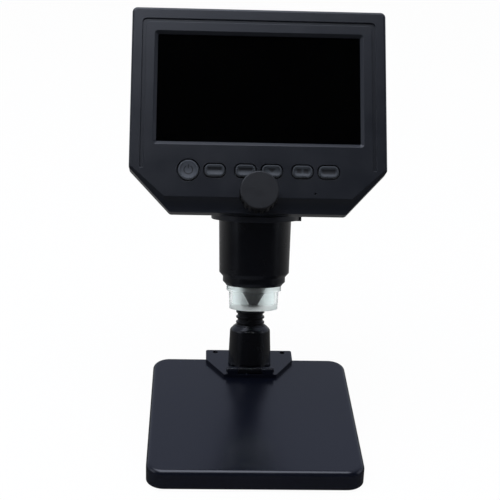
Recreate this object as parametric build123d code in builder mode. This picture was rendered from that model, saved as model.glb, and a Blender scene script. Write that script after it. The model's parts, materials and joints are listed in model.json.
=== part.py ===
from build123d import *
import math
import os

os.makedirs("parts", exist_ok=True)

# A digital microscope: a screen head over a lens barrel, held in a ring on a ribbed column that
# hinges at the rear of a flat base. Millimetres and degrees. X is to the user's right, Y away from
# the user, Z up. The origin is on the table, under the centre of the base.

# ---------------------------------------------------------------------------------------------
# Driving dimensions
# ---------------------------------------------------------------------------------------------

# Clearances
running_gap = 0.06  # radial, where one piece turns or slides in another
fit_gap = 0.05  # radial, where a piece is pressed, glued or screwed home
part_gap = 0.3  # between neighbours that move past each other

# Base
base_width = 99.6
base_depth = 106.0
base_side_height = 9.0
base_corner_radius = 8.5
base_edge_radius = 2.4
cover_wall = 2.0
cover_roof = 2.4
base_bottom_thickness = 2.0
base_weight_thickness = 3.0
rubber_foot_radius = 5.5
rubber_foot_lift = 0.8
rubber_foot_recess = 0.6
rubber_foot_inset = 10.0
base_boss_radius = 3.2
base_boss_inset = 9.2
base_boss_y = 20.0
screw_thread_radius = 1.0
screw_head_radius = 2.0
screw_head_height = 1.1

# Foot plate and its hinge, at the rear edge of the base
plate_thickness = 1.8
plate_half_width = 22.5
plate_front_half_width = 13.4
plate_overhang = 5.4  # behind the base's rear edge
plate_shoulder = 4.5  # in front of that edge, where the plate starts to narrow
plate_reach = 20.3  # in front of that edge
plate_corner_radius = 1.2
plate_screw_x = 17.6
plate_screw_inset = 2.4
plate_screw_head_radius = 1.3
plate_screw_head_height = 0.6
plate_screw_sink = 0.5
lug_margin = 1.2  # the plate stands out this far round the base's lug
lug_depth = 6.0
hinge_inset = 18.6  # hinge axis in front of the base's rear edge
hinge_lift = 1.7  # hinge axis above the plate
knuckle_radius = 1.65
knuckle_half_span = 11.6
middle_knuckle_half = 5.9
hinge_pin_radius = 0.8
hinge_pin_head_radius = 1.35
hinge_pin_head_height = 0.6
pad_height = 0.6
pad_half_width = 9.6
pad_front_inset = 15.2
pad_rear_overhang = 4.4

# Column: its axis leans away from the user at rest
lean = 18.0
column_foot_inset = 6.6  # where the axis passes, in front of the base's rear edge
column_foot_lift = 4.6  # at this height above the base
socket_foot_radius = 11.1
socket_top_radius = 10.35
socket_top = 16.6
socket_shoulder = 2.0
socket_bore_floor = 4.5
flange_thickness = 1.8
bush_wall = 0.95
bush_flange_radius = 8.0
bush_flange_height = 0.5
shank_radius = 6.6
socket_screw_radius = 1.5
socket_screw_height = 9.0
shank_groove_depth = 0.6
shank_groove_width = 3.6
rib_radius = 7.31
rib_valley_depth = 0.8
rib_pitch = 2.7
rib_crest = 0.8
rib_flank = 0.55
column_top = 147.0
column_cap_radius = 7.8
column_cap_height = 4.0

# Arm: a ring round the barrel and a boss round the column, cast as one
barrel_offset = 32.0  # barrel axis in front of the column axis
ring_bottom = 73.75
ring_height = 3.0
ring_radius = 21.4
ring_lip_height = 0.5
ring_lip_radius = 18.1
ring_edge_chamfer = 0.3
boss_radius = 11.4
boss_bottom = 68.0
boss_height = 24.0
bridge_half_width = 9.0
ring_screw_boss_width = 5.0
ring_screw_boss_reach = 22.4
clamp_height = 81.0
clamp_stud_radius = 2.5
clamp_knob_radius = 9.0
clamp_knob_lobe_radius = 2.6
clamp_knob_lobes = 5
clamp_knob_thickness = 9.0
clamp_knob_hub_radius = 5.0
clamp_knob_hub_length = 3.0

# Barrel, lamp ring and light shade, along the barrel's axis
barrel_radius = 17.6
barrel_foot_radius = 17.05
barrel_foot = 48.2
barrel_bottom = 46.2
barrel_top = 99.0
barrel_bore_radius = 15.6
barrel_web = 2.8
barrel_top_web = 1.3
barrel_light_hole_radius = 5.2
lamp_ring_radius = 15.25
lamp_ring_foot_radius = 13.75
lamp_ring_bottom = 42.0
lamp_ring_wall = 2.75
lamp_ring_straight = 2.45
lamp_ring_chamfer = 1.5
lamp_board_thickness = 1.2
lamp_board_height = 43.5
lamp_count = 8
lamp_size = 2.2
lamp_thickness = 0.7
lamp_circle_radius = 9.4
shade_flange_radius = 13.3
shade_flange_height = 2.6
shade_top_radius = 12.15
shade_bottom_radius = 11.75
shade_body_height = 9.0
shade_wall = 1.3
shade_spigot_height = 1.3
nose_radius = 7.4
nose_tip_radius = 1.6
nose_tip_height = 31.2
nose_wall = 0.8
nose_flange_radius = 9.0
nose_flange_height = 1.3

# Screen head, in the plane of the screen: u to the right, v up, depths behind the front face
screen_tilt = 16.0  # between the screen and the barrel's axis
face_origin_y = -45.67  # where u and v start: from the column axis, away from the user
face_origin_height = 137.95  # and along the column axis
panel_width = 105.5
panel_height = 67.2
panel_thickness = 2.9
panel_depth = 2.5
panel_side_room = 7.75  # between the screen panel and the head's side
case_half_width = panel_width / 2 + panel_side_room
case_top = 38.4
case_bottom = -60.6
case_low_corner_rise = 20.6  # how far each low corner cuts up from the bottom
case_low_corner_run = 19.3  # and in from the side
case_shoulder = case_bottom + case_low_corner_rise
case_bottom_half_width = case_half_width - case_low_corner_run
case_top_corner_radius = 2.5
case_low_corner_radius = 2.0
case_edge_radius = 1.2
case_rear_edge_radius = 2.4
case_wall = 2.0
case_face = 2.0
case_parting = 4.5
case_depth = 11.0
lip_run = 7.0  # width of the hollow border below the buttons
lip_drop = 2.6
corner_lip_run = 3.5  # width of the hollow along a low corner, at its lower end
corner_lip_start_run = 1.0  # and at its upper end
corner_lip_drop = 1.6
pocket_lift = 5.6  # bottom of the inside pocket above the case's bottom edge
groove_side_inset = 5.9
groove_top_inset = 6.4
groove_u = case_half_width - groove_side_inset
groove_v = case_top - groove_top_inset
groove_width = 1.7
groove_depth = 0.7
groove_corner_radius = 2.2
window_width = 96.0
window_height = 52.2
window_v = -0.9
window_lip = 1.65
window_lip_depth = 1.2
window_lens_margin = 2.1
window_lens_thickness = 1.0
key_row_lift = 19.6  # above the case's bottom edge
key_row_v = case_bottom + key_row_lift
key_inner_u = 6.15
key_middle_u = 20.5
key_outer_u = 32.75
power_key_u = -key_outer_u
key_us = (-key_middle_u, -key_inner_u, key_inner_u, key_middle_u, key_outer_u)
key_width = 9.2
key_height = 5.7
key_corner_radius = 2.3
power_key_radius = 4.7
key_slot = 0.7
key_proud = 1.0
key_rim = 0.8  # left standing round the dished top
key_dish_depth = 0.55
key_flange = 0.6
key_flange_thickness = 0.9
key_plunger_radius = 1.3
key_plunger_length = 0.4
key_travel = 0.5
key_bevel = 0.3
sound_hole_u = 26.6
sound_hole_lift = 9.2  # above the case's bottom edge
sound_hole_radius = 0.5
case_screw_side_inset = 4.7
case_screw_top_inset = 4.6
case_screw_middle_v = -2.0
case_screw_low_inset = 2.5  # from the corner of the bottom edge
case_screw_low_lift = 6.8  # above the bottom edge
case_boss_radius = 2.4
case_screw_tip_depth = 3.2
hump_width = 56.0
hump_height = 62.0
hump_centre_v = -12.0
hump_depth = 21.0
hump_corner_radius = 7.0
hump_edge_radius = 4.0
neck_radius = 20.5
neck_head_room = 3.5  # above the barrel
neck_roof = 3.0
neck_edge_radius = 2.5

# Electronics inside the head
board_side_room = 10.3  # between the main board and the head's side
board_height = 50.0
board_thickness = 1.4
board_depth = 6.8
board_tab_height = 22.0
board_tab_v = 14.0
standoff_radius = 2.4
standoff_inset_v = 4.0
chip_places = ((-12.0, -4.0, 14.0, 14.0), (8.0, 4.0, 10.0, 10.0), (10.0, -14.0, 8.0, 6.0))
chip_thickness = 1.1
key_board_end_room = 5.25  # beyond the middle of the outer keys
key_board_height = 9.0
key_board_thickness = 1.0
key_board_boss_radius = 1.5
key_board_screw_radius = 0.7
key_board_screw_head_radius = 1.4
switch_size = 4.5
switch_body_height = 0.6
switch_stem_radius = 1.2
switch_stem_height = 0.4
switch_press_gap = 0.1  # between a pressed key and its switch's stem
battery_width = 50.0
battery_height = 28.0
battery_thickness = 5.4
battery_centre_v = -1.0
usb_width = 7.5
usb_height = 2.2
usb_v = 10.0
usb_wall = 0.4
card_width = 12.0
card_height = 1.3
card_length = 12.0
card_v = 20.5
card_wall = 0.3
port_gap = 0.25
sensor_board_size = 19.0
sensor_board_thickness = 1.0
sensor_size = 7.0
sensor_thickness = 0.8

# Focus drive: knob, shaft and pinion square to the screen, rack on the lens carriage
focus_lift = 8.2  # above the case's bottom edge
focus_knob_radius = 9.0
focus_knob_back = 1.3
focus_knob_length = 9.7
focus_knob_ridges = 20
focus_knob_groove_depth = 0.8
focus_knob_groove_width = 1.3
focus_knob_rim = 1.3
focus_knob_edge = 0.6
focus_shaft_radius = 1.5
focus_shaft_in_knob = 7.0
focus_bush_radius = 2.6
focus_bush_flange_radius = 3.3
focus_bush_flange_thickness = 1.0
focus_bush_proud = 0.9
focus_bush_tail = 0.6
shaft_clip_radius = 2.9
shaft_clip_thickness = 0.5
gear_module = 0.5
pinion_teeth = 12
pinion_depth = 16.5
pinion_width = 3.8
tooth_backlash = 0.12
rack_bar_thickness = 2.0
carriage_bottom = 58.0
carriage_height = 12.0
carriage_wall = 1.5
carriage_web = 2.5
lens_tube_radius = 6.5
lens_bore_radius = 4.5
lens_tube_bottom = 55.0
lens_thickness = 2.0
focus_travel = 5.0

# ---------------------------------------------------------------------------------------------
# Levels and planes worked out from the sizes above
# ---------------------------------------------------------------------------------------------

base_floor = rubber_foot_lift
base_top = base_floor + base_side_height
base_rear = base_depth / 2
plate_top = base_top + plate_thickness
hinge_y = base_rear - hinge_inset
hinge_z = plate_top + hinge_lift
pad_top = plate_top + pad_height
flange_bottom = pad_top + part_gap

lean_up = Vector(0, math.sin(math.radians(lean)), math.cos(math.radians(lean)))
column_plane = Plane(
    origin=(0, base_rear - column_foot_inset, base_top + column_foot_lift),
    x_dir=(1, 0, 0),
    z_dir=lean_up,
)
barrel_plane = Plane(
    origin=column_plane.from_local_coords((0, -barrel_offset, 0)),
    x_dir=(1, 0, 0),
    z_dir=lean_up,
)
screen_lean = math.radians(lean + screen_tilt)
screen_plane = Plane(
    origin=column_plane.from_local_coords((0, face_origin_y, face_origin_height)),
    x_dir=(1, 0, 0),
    z_dir=(0, -math.cos(screen_lean), math.sin(screen_lean)),
)
focus_v = case_bottom + focus_lift
screen_axis = Axis(screen_plane.origin, screen_plane.z_dir)
column_axis = Axis(column_plane.origin, column_plane.z_dir)
barrel_axis = Axis(barrel_plane.origin, barrel_plane.z_dir)


def turning_plane(plane):
    """The plane through a turned piece's axis: local x is the radius, local y runs along the axis."""
    return Plane(origin=plane.origin, x_dir=plane.x_dir, z_dir=-plane.y_dir)


def cross_plane(plane, height):
    """A plane square to a piece's local y, at a height on its axis: local y runs up the axis."""
    origin = plane.from_local_coords((0, 0, height))
    return Plane(origin=origin, x_dir=-plane.x_dir, z_dir=plane.y_dir)


# ---------------------------------------------------------------------------------------------
# Base
# ---------------------------------------------------------------------------------------------

base_screw_x = base_width / 2 - base_boss_inset
base_screw_y = base_boss_y
foot_x = base_width / 2 - rubber_foot_inset
foot_y = base_depth / 2 - rubber_foot_inset
lug_half_width = plate_half_width - lug_margin
lug_length = plate_overhang - lug_margin / 2
plate_screw_y = base_rear + plate_overhang - plate_screw_inset
pilot_radius = screw_thread_radius + fit_gap
cover_cavity_height = base_side_height - cover_roof
base_bottom_top = base_floor + base_bottom_thickness

with BuildPart() as base_cover:
    with BuildSketch(Plane.XY.offset(base_floor)):
        RectangleRounded(base_width, base_depth, base_corner_radius)
    extrude(amount=base_side_height)
    fillet(base_cover.faces().sort_by(Axis.Z)[-1].edges(), radius=base_edge_radius)
    # Lug behind the base, under the overhang of the foot plate.
    with BuildSketch(Plane.XY.offset(base_top - lug_depth)):
        with Locations((0, base_rear - base_edge_radius)):
            Rectangle(
                2 * lug_half_width, lug_length + base_edge_radius, align=(Align.CENTER, Align.MIN)
            )
    extrude(amount=lug_depth)
    with BuildSketch(Plane.XY.offset(base_floor)):
        RectangleRounded(
            base_width - 2 * cover_wall, base_depth - 2 * cover_wall, base_corner_radius - cover_wall
        )
    extrude(amount=cover_cavity_height, mode=Mode.SUBTRACT)
    with BuildSketch(Plane.XY.offset(base_bottom_top)):
        with GridLocations(2 * base_screw_x, 2 * base_screw_y, 2, 2):
            Circle(base_boss_radius)
    extrude(amount=base_top - cover_roof / 2 - base_bottom_top)
    with BuildSketch(Plane.XY.offset(base_bottom_top)):
        with GridLocations(2 * base_screw_x, 2 * base_screw_y, 2, 2):
            Circle(pilot_radius)
    extrude(amount=cover_cavity_height - base_bottom_thickness, mode=Mode.SUBTRACT)
    with BuildSketch(Plane.XY.offset(base_top)):
        with Locations((-plate_screw_x, plate_screw_y), (plate_screw_x, plate_screw_y)):
            Circle(pilot_radius)
    extrude(amount=-lug_depth + cover_wall / 2, mode=Mode.SUBTRACT)
base_cover.part.label = "base_cover"
export_step(base_cover.part, "parts/base_cover.step")

with BuildPart() as base_bottom:
    with BuildSketch(Plane.XY.offset(base_floor)):
        RectangleRounded(
            base_width - 2 * (cover_wall + fit_gap),
            base_depth - 2 * (cover_wall + fit_gap),
            base_corner_radius - cover_wall - fit_gap,
        )
        with GridLocations(2 * base_screw_x, 2 * base_screw_y, 2, 2):
            Circle(screw_thread_radius + 2 * fit_gap, mode=Mode.SUBTRACT)
    extrude(amount=base_bottom_thickness)
    with BuildSketch(Plane.XY.offset(base_floor)):
        with GridLocations(2 * base_screw_x, 2 * base_screw_y, 2, 2):
            Circle(screw_head_radius + part_gap)
    extrude(amount=screw_head_height, mode=Mode.SUBTRACT)
    with BuildSketch(Plane.XY.offset(base_floor)):
        with GridLocations(2 * foot_x, 2 * foot_y, 2, 2):
            Circle(rubber_foot_radius + fit_gap)
    extrude(amount=rubber_foot_recess, mode=Mode.SUBTRACT)
base_bottom.part.label = "base_bottom"
export_step(base_bottom.part, "parts/base_bottom.step")

with BuildPart() as base_weight:
    with BuildSketch(Plane.XY.offset(base_bottom_top)):
        RectangleRounded(
            base_width - 2 * (cover_wall + part_gap),
            base_depth - 2 * (cover_wall + part_gap),
            base_corner_radius - cover_wall - part_gap,
        )
        with GridLocations(2 * base_screw_x, 2 * base_screw_y, 2, 2):
            Circle(base_boss_radius + part_gap, mode=Mode.SUBTRACT)
    extrude(amount=base_weight_thickness)
base_weight.part.label = "base_weight"
export_step(base_weight.part, "parts/base_weight.step")

with BuildPart() as base_screws:
    with BuildSketch(Plane.XY.offset(base_floor)):
        with GridLocations(2 * base_screw_x, 2 * base_screw_y, 2, 2):
            Circle(screw_head_radius)
    extrude(amount=screw_head_height)
    with BuildSketch(Plane.XY.offset(base_floor + screw_head_height)):
        with GridLocations(2 * base_screw_x, 2 * base_screw_y, 2, 2):
            Circle(screw_thread_radius)
    extrude(amount=base_side_height - cover_roof - screw_head_height - part_gap)
base_screws.part.label = "base_screws"
export_step(base_screws.part, "parts/base_screws.step")

with BuildPart() as rubber_feet:
    with BuildSketch(Plane.XY):
        with GridLocations(2 * foot_x, 2 * foot_y, 2, 2):
            Circle(rubber_foot_radius)
    extrude(amount=rubber_foot_lift + rubber_foot_recess)
    chamfer(rubber_feet.faces().group_by(Axis.Z)[0].edges(), length=rubber_foot_lift / 3)
rubber_feet.part.label = "rubber_feet"
export_step(rubber_feet.part, "parts/rubber_feet.step")

# ---------------------------------------------------------------------------------------------
# Foot plate and hinge
# ---------------------------------------------------------------------------------------------

knuckle_gap_u = middle_knuckle_half + part_gap
knuckle_length = knuckle_half_span - knuckle_gap_u
knuckle_centre_u = knuckle_gap_u + knuckle_length / 2
hinge_plane = Plane(origin=(0, hinge_y, hinge_z), x_dir=(0, 1, 0), z_dir=(1, 0, 0))

with BuildPart() as foot_bracket:
    with BuildSketch(Plane.XY.offset(base_top)):
        Polygon(
            (-plate_half_width, base_rear + plate_overhang),
            (-plate_half_width, base_rear - plate_shoulder),
            (-plate_front_half_width, base_rear - plate_reach),
            (plate_front_half_width, base_rear - plate_reach),
            (plate_half_width, base_rear - plate_shoulder),
            (plate_half_width, base_rear + plate_overhang),
            align=None,
        )
    extrude(amount=plate_thickness)
    fillet(foot_bracket.edges().filter_by(Axis.Z), radius=plate_corner_radius)
    # Pad that the socket's flange comes down on.
    with BuildSketch(Plane.XY.offset(plate_top)):
        with Locations((0, base_rear - pad_front_inset)):
            Rectangle(
                2 * pad_half_width, pad_front_inset + pad_rear_overhang, align=(Align.CENTER, Align.MIN)
            )
    extrude(amount=pad_height)
    # Outer knuckles, each on a short web.
    with BuildSketch(hinge_plane.offset(knuckle_gap_u)):
        Circle(knuckle_radius)
    extrude(amount=knuckle_length)
    with BuildSketch(hinge_plane.offset(-knuckle_half_span)):
        Circle(knuckle_radius)
    extrude(amount=knuckle_length)
    with BuildSketch(Plane.XY.offset(plate_top)):
        with Locations((-knuckle_centre_u, hinge_y), (knuckle_centre_u, hinge_y)):
            Rectangle(knuckle_length, 2 * knuckle_radius)
    extrude(amount=hinge_lift)
    with BuildSketch(hinge_plane.offset(-knuckle_half_span)):
        Circle(hinge_pin_radius + fit_gap)
    extrude(amount=2 * knuckle_half_span, mode=Mode.SUBTRACT)
    with BuildSketch(Plane.XY.offset(plate_top)):
        with Locations((-plate_screw_x, plate_screw_y), (plate_screw_x, plate_screw_y)):
            Circle(plate_screw_head_radius + fit_gap)
    extrude(amount=-plate_screw_head_height - plate_screw_sink, mode=Mode.SUBTRACT)
    with BuildSketch(Plane.XY.offset(plate_top)):
        with Locations((-plate_screw_x, plate_screw_y), (plate_screw_x, plate_screw_y)):
            Circle(pilot_radius)
    extrude(amount=-plate_thickness, mode=Mode.SUBTRACT)
foot_bracket.part.label = "foot_bracket"
export_step(foot_bracket.part, "parts/foot_bracket.step")

with BuildPart() as bracket_screws:
    with BuildSketch(Plane.XY.offset(plate_top - plate_screw_sink)):
        with Locations((-plate_screw_x, plate_screw_y), (plate_screw_x, plate_screw_y)):
            Circle(plate_screw_head_radius)
    extrude(amount=-plate_screw_head_height)
    with BuildSketch(Plane.XY.offset(plate_top - plate_screw_sink - plate_screw_head_height)):
        with Locations((-plate_screw_x, plate_screw_y), (plate_screw_x, plate_screw_y)):
            Circle(screw_thread_radius)
    extrude(amount=-lug_depth + cover_wall)
bracket_screws.part.label = "bracket_screws"
export_step(bracket_screws.part, "parts/bracket_screws.step")

with BuildPart() as hinge_pin:
    with BuildSketch(hinge_plane.offset(-knuckle_half_span)):
        Circle(hinge_pin_radius)
    extrude(amount=2 * knuckle_half_span)
    with BuildSketch(hinge_plane.offset(knuckle_half_span)):
        Circle(hinge_pin_head_radius)
    extrude(amount=hinge_pin_head_height)
    with BuildSketch(hinge_plane.offset(-knuckle_half_span)):
        Circle(hinge_pin_head_radius)
    extrude(amount=-hinge_pin_head_height)
    ends = hinge_pin.faces().sort_by(Axis.X)
    fillet(ends[0].edges() + ends[-1].edges(), radius=hinge_pin_head_height * 0.8)
hinge_pin.part.label = "hinge_pin"
export_step(hinge_pin.part, "parts/hinge_pin.step")

# ---------------------------------------------------------------------------------------------
# Column socket, bush and column
# ---------------------------------------------------------------------------------------------

bush_bore_radius = shank_radius + running_gap
bush_radius = bush_bore_radius + bush_wall
socket_bore_radius = bush_radius + fit_gap
bush_bottom = socket_bore_floor + part_gap
bush_top = socket_top + bush_flange_height
socket_length_below = socket_foot_radius
knuckle_room = knuckle_radius + part_gap  # kept clear round the hinge axis

with BuildPart() as column_socket:
    with BuildSketch(turning_plane(column_plane)):
        Polygon(
            (0, -socket_length_below),
            (socket_foot_radius, -socket_length_below),
            (socket_foot_radius, -column_foot_lift),
            (socket_top_radius, socket_top - socket_shoulder),
            (socket_top_radius - socket_shoulder, socket_top),
            (0, socket_top),
            align=None,
        )
    revolve(axis=column_axis)
    shoulder_edge = column_socket.edges().filter_by(GeomType.CIRCLE).sort_by(column_axis)[-2]
    fillet(shoulder_edge, radius=socket_shoulder)
    # The sleeve ends level at the flange's underside, and higher where it clears the knuckles.
    with BuildSketch(Plane.XY.offset(flange_bottom)):
        with Locations((0, column_plane.origin.Y)):
            Rectangle(4 * socket_foot_radius, 4 * socket_foot_radius)
    extrude(amount=-4 * socket_foot_radius, mode=Mode.SUBTRACT)
    with BuildSketch(Plane.XY.offset(flange_bottom)):
        with Locations((0, hinge_y + knuckle_room)):
            Rectangle(4 * socket_foot_radius, 4 * knuckle_room, align=(Align.CENTER, Align.MAX))
    extrude(amount=hinge_z + knuckle_room - flange_bottom, mode=Mode.SUBTRACT)
    # Flange over the pad, and the middle knuckle with its web.
    with BuildSketch(Plane.XY.offset(flange_bottom)):
        with Locations((0, base_rear - pad_front_inset)):
            Rectangle(
                2 * pad_half_width, pad_front_inset + pad_rear_overhang, align=(Align.CENTER, Align.MIN)
            )
        with Locations((0, hinge_y)):
            Rectangle(
                2 * middle_knuckle_half, hinge_inset - pad_front_inset, align=(Align.CENTER, Align.MIN)
            )
    extrude(amount=flange_thickness)
    with BuildSketch(hinge_plane.offset(-middle_knuckle_half)):
        Circle(knuckle_radius)
    extrude(amount=2 * middle_knuckle_half)
    with BuildSketch(hinge_plane.offset(-middle_knuckle_half)):
        Circle(hinge_pin_radius + running_gap)
    extrude(amount=2 * middle_knuckle_half, mode=Mode.SUBTRACT)
    with BuildSketch(column_plane.offset(socket_bore_floor)):
        Circle(socket_bore_radius)
    extrude(amount=socket_top - socket_bore_floor, mode=Mode.SUBTRACT)
    with BuildSketch(cross_plane(column_plane, socket_screw_height)):
        Circle(socket_screw_radius + fit_gap)
    extrude(amount=socket_foot_radius, mode=Mode.SUBTRACT)
column_socket.part.label = "column_socket"
export_step(column_socket.part, "parts/column_socket.step")

with BuildPart() as column_bush:
    with BuildSketch(turning_plane(column_plane)):
        Polygon(
            (bush_bore_radius, bush_bottom),
            (bush_radius, bush_bottom),
            (bush_radius, socket_top),
            (bush_flange_radius, socket_top),
            (bush_flange_radius, bush_top - part_gap),
            (bush_flange_radius - part_gap, bush_top),
            (bush_bore_radius, bush_top),
            align=None,
        )
    revolve(axis=column_axis)
    with BuildSketch(cross_plane(column_plane, socket_screw_height)):
        Circle(socket_screw_radius + fit_gap)
    extrude(amount=socket_foot_radius, mode=Mode.SUBTRACT)
column_bush.part.label = "column_bush"
export_step(column_bush.part, "parts/column_bush.step")

shank_groove_radius = shank_radius - shank_groove_depth
socket_screw_tip = shank_groove_radius + part_gap
with BuildPart() as socket_screw:
    with BuildSketch(cross_plane(column_plane, socket_screw_height).offset(socket_screw_tip)):
        Circle(socket_screw_radius)
    extrude(amount=socket_top_radius - socket_screw_tip - part_gap)
    with BuildSketch(cross_plane(column_plane, socket_screw_height).offset(socket_top_radius - part_gap)):
        RegularPolygon(socket_screw_radius / 2, 6)
    extrude(amount=-socket_screw_radius / 2, mode=Mode.SUBTRACT)
socket_screw.part.label = "socket_screw"
export_step(socket_screw.part, "parts/socket_screw.step")

rib_start = bush_top + part_gap
rib_valley_radius = rib_radius - rib_valley_depth
rib_count = int((column_top - rib_start - rib_pitch) / rib_pitch)
column_profile = [
    (0, bush_bottom),
    (shank_radius, bush_bottom),
    (shank_radius, socket_screw_height - shank_groove_width / 2),
    (shank_groove_radius, socket_screw_height - shank_groove_width / 2),
    (shank_groove_radius, socket_screw_height + shank_groove_width / 2),
    (shank_radius, socket_screw_height + shank_groove_width / 2),
    (shank_radius, rib_start),
]
for rib in range(rib_count):
    rib_low = rib_start + rib * rib_pitch
    column_profile += [
        (rib_valley_radius, rib_low),
        (rib_radius, rib_low + rib_flank),
        (rib_radius, rib_low + rib_flank + rib_crest),
        (rib_valley_radius, rib_low + 2 * rib_flank + rib_crest),
    ]
column_profile += [(rib_valley_radius, column_top), (0, column_top)]

with BuildPart() as column:
    with BuildSketch(turning_plane(column_plane)):
        Polygon(*column_profile, align=None)
    revolve(axis=column_axis)
column.part.label = "column"
export_step(column.part, "parts/column.step")

with BuildPart() as column_cap:
    with BuildSketch(column_plane.offset(column_top)):
        Circle(column_cap_radius)
    extrude(amount=column_cap_height)
    fillet(column_cap.faces().sort_by(column_axis)[-1].edges(), radius=column_cap_height / 2)
column_cap.part.label = "column_cap"
export_step(column_cap.part, "parts/column_cap.step")

# ---------------------------------------------------------------------------------------------
# Arm, ring screw and clamp knob
# ---------------------------------------------------------------------------------------------

ring_top = ring_bottom + ring_height
ring_bore_radius = barrel_radius + running_gap
column_bore_radius = rib_radius + running_gap
ring_screw_height = ring_bottom + ring_height / 2
clamp_plane = cross_plane(column_plane, clamp_height)
clamp_axis = Axis(clamp_plane.origin, clamp_plane.z_dir)
ring_screw_plane = Plane(
    origin=barrel_plane.from_local_coords((0, 0, ring_screw_height)),
    x_dir=barrel_plane.y_dir,
    z_dir=barrel_plane.x_dir,
)

with BuildPart() as arm_bracket:
    with BuildSketch(turning_plane(barrel_plane)):
        Polygon(
            (barrel_radius / 2, ring_bottom),
            (ring_lip_radius, ring_bottom),
            (ring_lip_radius, ring_bottom + ring_lip_height),
            (ring_radius - ring_edge_chamfer, ring_bottom + ring_lip_height),
            (ring_radius, ring_bottom + ring_lip_height + ring_edge_chamfer),
            (ring_radius, ring_top),
            (barrel_radius / 2, ring_top),
            align=None,
        )
    revolve(axis=barrel_axis)
    with BuildSketch(column_plane.offset(boss_bottom)):
        Circle(boss_radius)
    extrude(amount=boss_height)
    boss_ends = arm_bracket.edges().filter_by(GeomType.CIRCLE).sort_by(column_axis)
    fillet([boss_ends[0], boss_ends[-1]], radius=case_edge_radius)
    with BuildSketch(column_plane.offset(boss_bottom + case_edge_radius)):
        Rectangle(2 * bridge_half_width, barrel_offset - barrel_radius / 2, align=(Align.CENTER, Align.MAX))
    extrude(amount=ring_top - boss_bottom - case_edge_radius)
    # Squared boss for the screw that holds the barrel.
    with BuildSketch(ring_screw_plane.offset(barrel_radius / 2)):
        Rectangle(ring_screw_boss_width, ring_height)
    extrude(amount=ring_screw_boss_reach - barrel_radius / 2)
    with BuildSketch(barrel_plane.offset(boss_bottom)):
        Circle(ring_bore_radius)
    extrude(amount=ring_height + ring_top - boss_bottom, mode=Mode.SUBTRACT)
    with BuildSketch(column_plane.offset(boss_bottom)):
        Circle(column_bore_radius)
    extrude(amount=boss_height, mode=Mode.SUBTRACT)
    with BuildSketch(clamp_plane):
        Circle(clamp_stud_radius + running_gap)
    extrude(amount=2 * boss_radius, mode=Mode.SUBTRACT)
    with BuildSketch(ring_screw_plane):
        Circle(screw_thread_radius + fit_gap)
    extrude(amount=2 * ring_radius, mode=Mode.SUBTRACT)
arm_bracket.part.label = "arm_bracket"
export_step(arm_bracket.part, "parts/arm_bracket.step")

with BuildPart() as ring_screw:
    with BuildSketch(ring_screw_plane.offset(ring_bore_radius + part_gap)):
        Circle(screw_thread_radius)
    extrude(amount=ring_screw_boss_reach - ring_bore_radius - 2 * part_gap)
    with BuildSketch(ring_screw_plane.offset(ring_screw_boss_reach - part_gap)):
        RegularPolygon(screw_thread_radius / 2, 6)
    extrude(amount=-screw_thread_radius, mode=Mode.SUBTRACT)
ring_screw.part.label = "ring_screw"
export_step(ring_screw.part, "parts/ring_screw.step")

clamp_knob_start = boss_radius + 2 * part_gap
with BuildPart() as clamp_knob:
    with BuildSketch(clamp_plane.offset(clamp_knob_start)):
        Circle(clamp_knob_hub_radius)
    extrude(amount=clamp_knob_hub_length)
    with BuildSketch(clamp_plane.offset(clamp_knob_start + clamp_knob_hub_length)):
        Circle(clamp_knob_radius - clamp_knob_lobe_radius / 2)
        with PolarLocations(clamp_knob_radius - clamp_knob_lobe_radius, clamp_knob_lobes):
            Circle(clamp_knob_lobe_radius)
    extrude(amount=clamp_knob_thickness)
    fillet(clamp_knob.faces().sort_by(clamp_axis)[-1].edges(), radius=case_edge_radius)
    with BuildSketch(clamp_plane.offset(clamp_knob_start)):
        Circle(clamp_stud_radius + fit_gap)
    extrude(amount=clamp_knob_hub_length + clamp_knob_thickness / 2, mode=Mode.SUBTRACT)
clamp_knob.part.label = "clamp_knob"
export_step(clamp_knob.part, "parts/clamp_knob.step")

clamp_stud_tip = rib_radius + part_gap
clamp_stud_end = clamp_knob_start + clamp_knob_hub_length + clamp_knob_thickness / 2
with BuildPart() as clamp_stud:
    with BuildSketch(clamp_plane.offset(clamp_stud_tip)):
        Circle(clamp_stud_radius)
    extrude(amount=clamp_stud_end - clamp_stud_tip)
    chamfer(clamp_stud.faces().sort_by(clamp_axis)[0].edges(), length=clamp_stud_radius / 5)
clamp_stud.part.label = "clamp_stud"
export_step(clamp_stud.part, "parts/clamp_stud.step")

# ---------------------------------------------------------------------------------------------
# Barrel, lamps and light shade
# ---------------------------------------------------------------------------------------------

focus_plane = Plane(
    origin=screen_plane.from_local_coords((0, focus_v, 0)),
    x_dir=screen_plane.x_dir,
    z_dir=screen_plane.z_dir,
)

with BuildPart() as barrel:
    with BuildSketch(turning_plane(barrel_plane)):
        Polygon(
            (barrel_light_hole_radius, barrel_bottom),
            (lamp_ring_radius, barrel_bottom),
            (barrel_foot_radius, barrel_foot),
            (barrel_radius, ring_bottom),
            (barrel_radius, barrel_top),
            (barrel_light_hole_radius, barrel_top),
            (barrel_light_hole_radius, barrel_top - barrel_top_web),
            (barrel_bore_radius, barrel_top - barrel_top_web),
            (barrel_bore_radius, barrel_bottom + barrel_web),
            (barrel_light_hole_radius, barrel_bottom + barrel_web),
            align=None,
        )
    revolve(axis=barrel_axis)
    # Hole in the front wall for the focus shaft.
    with BuildSketch(focus_plane.offset(-case_depth + case_wall)):
        Circle(focus_shaft_radius + 2 * part_gap)
    extrude(amount=-(pinion_depth - pinion_width / 2 - case_depth + case_wall), mode=Mode.SUBTRACT)
barrel.part.label = "barrel"
export_step(barrel.part, "parts/barrel.step")

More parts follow.
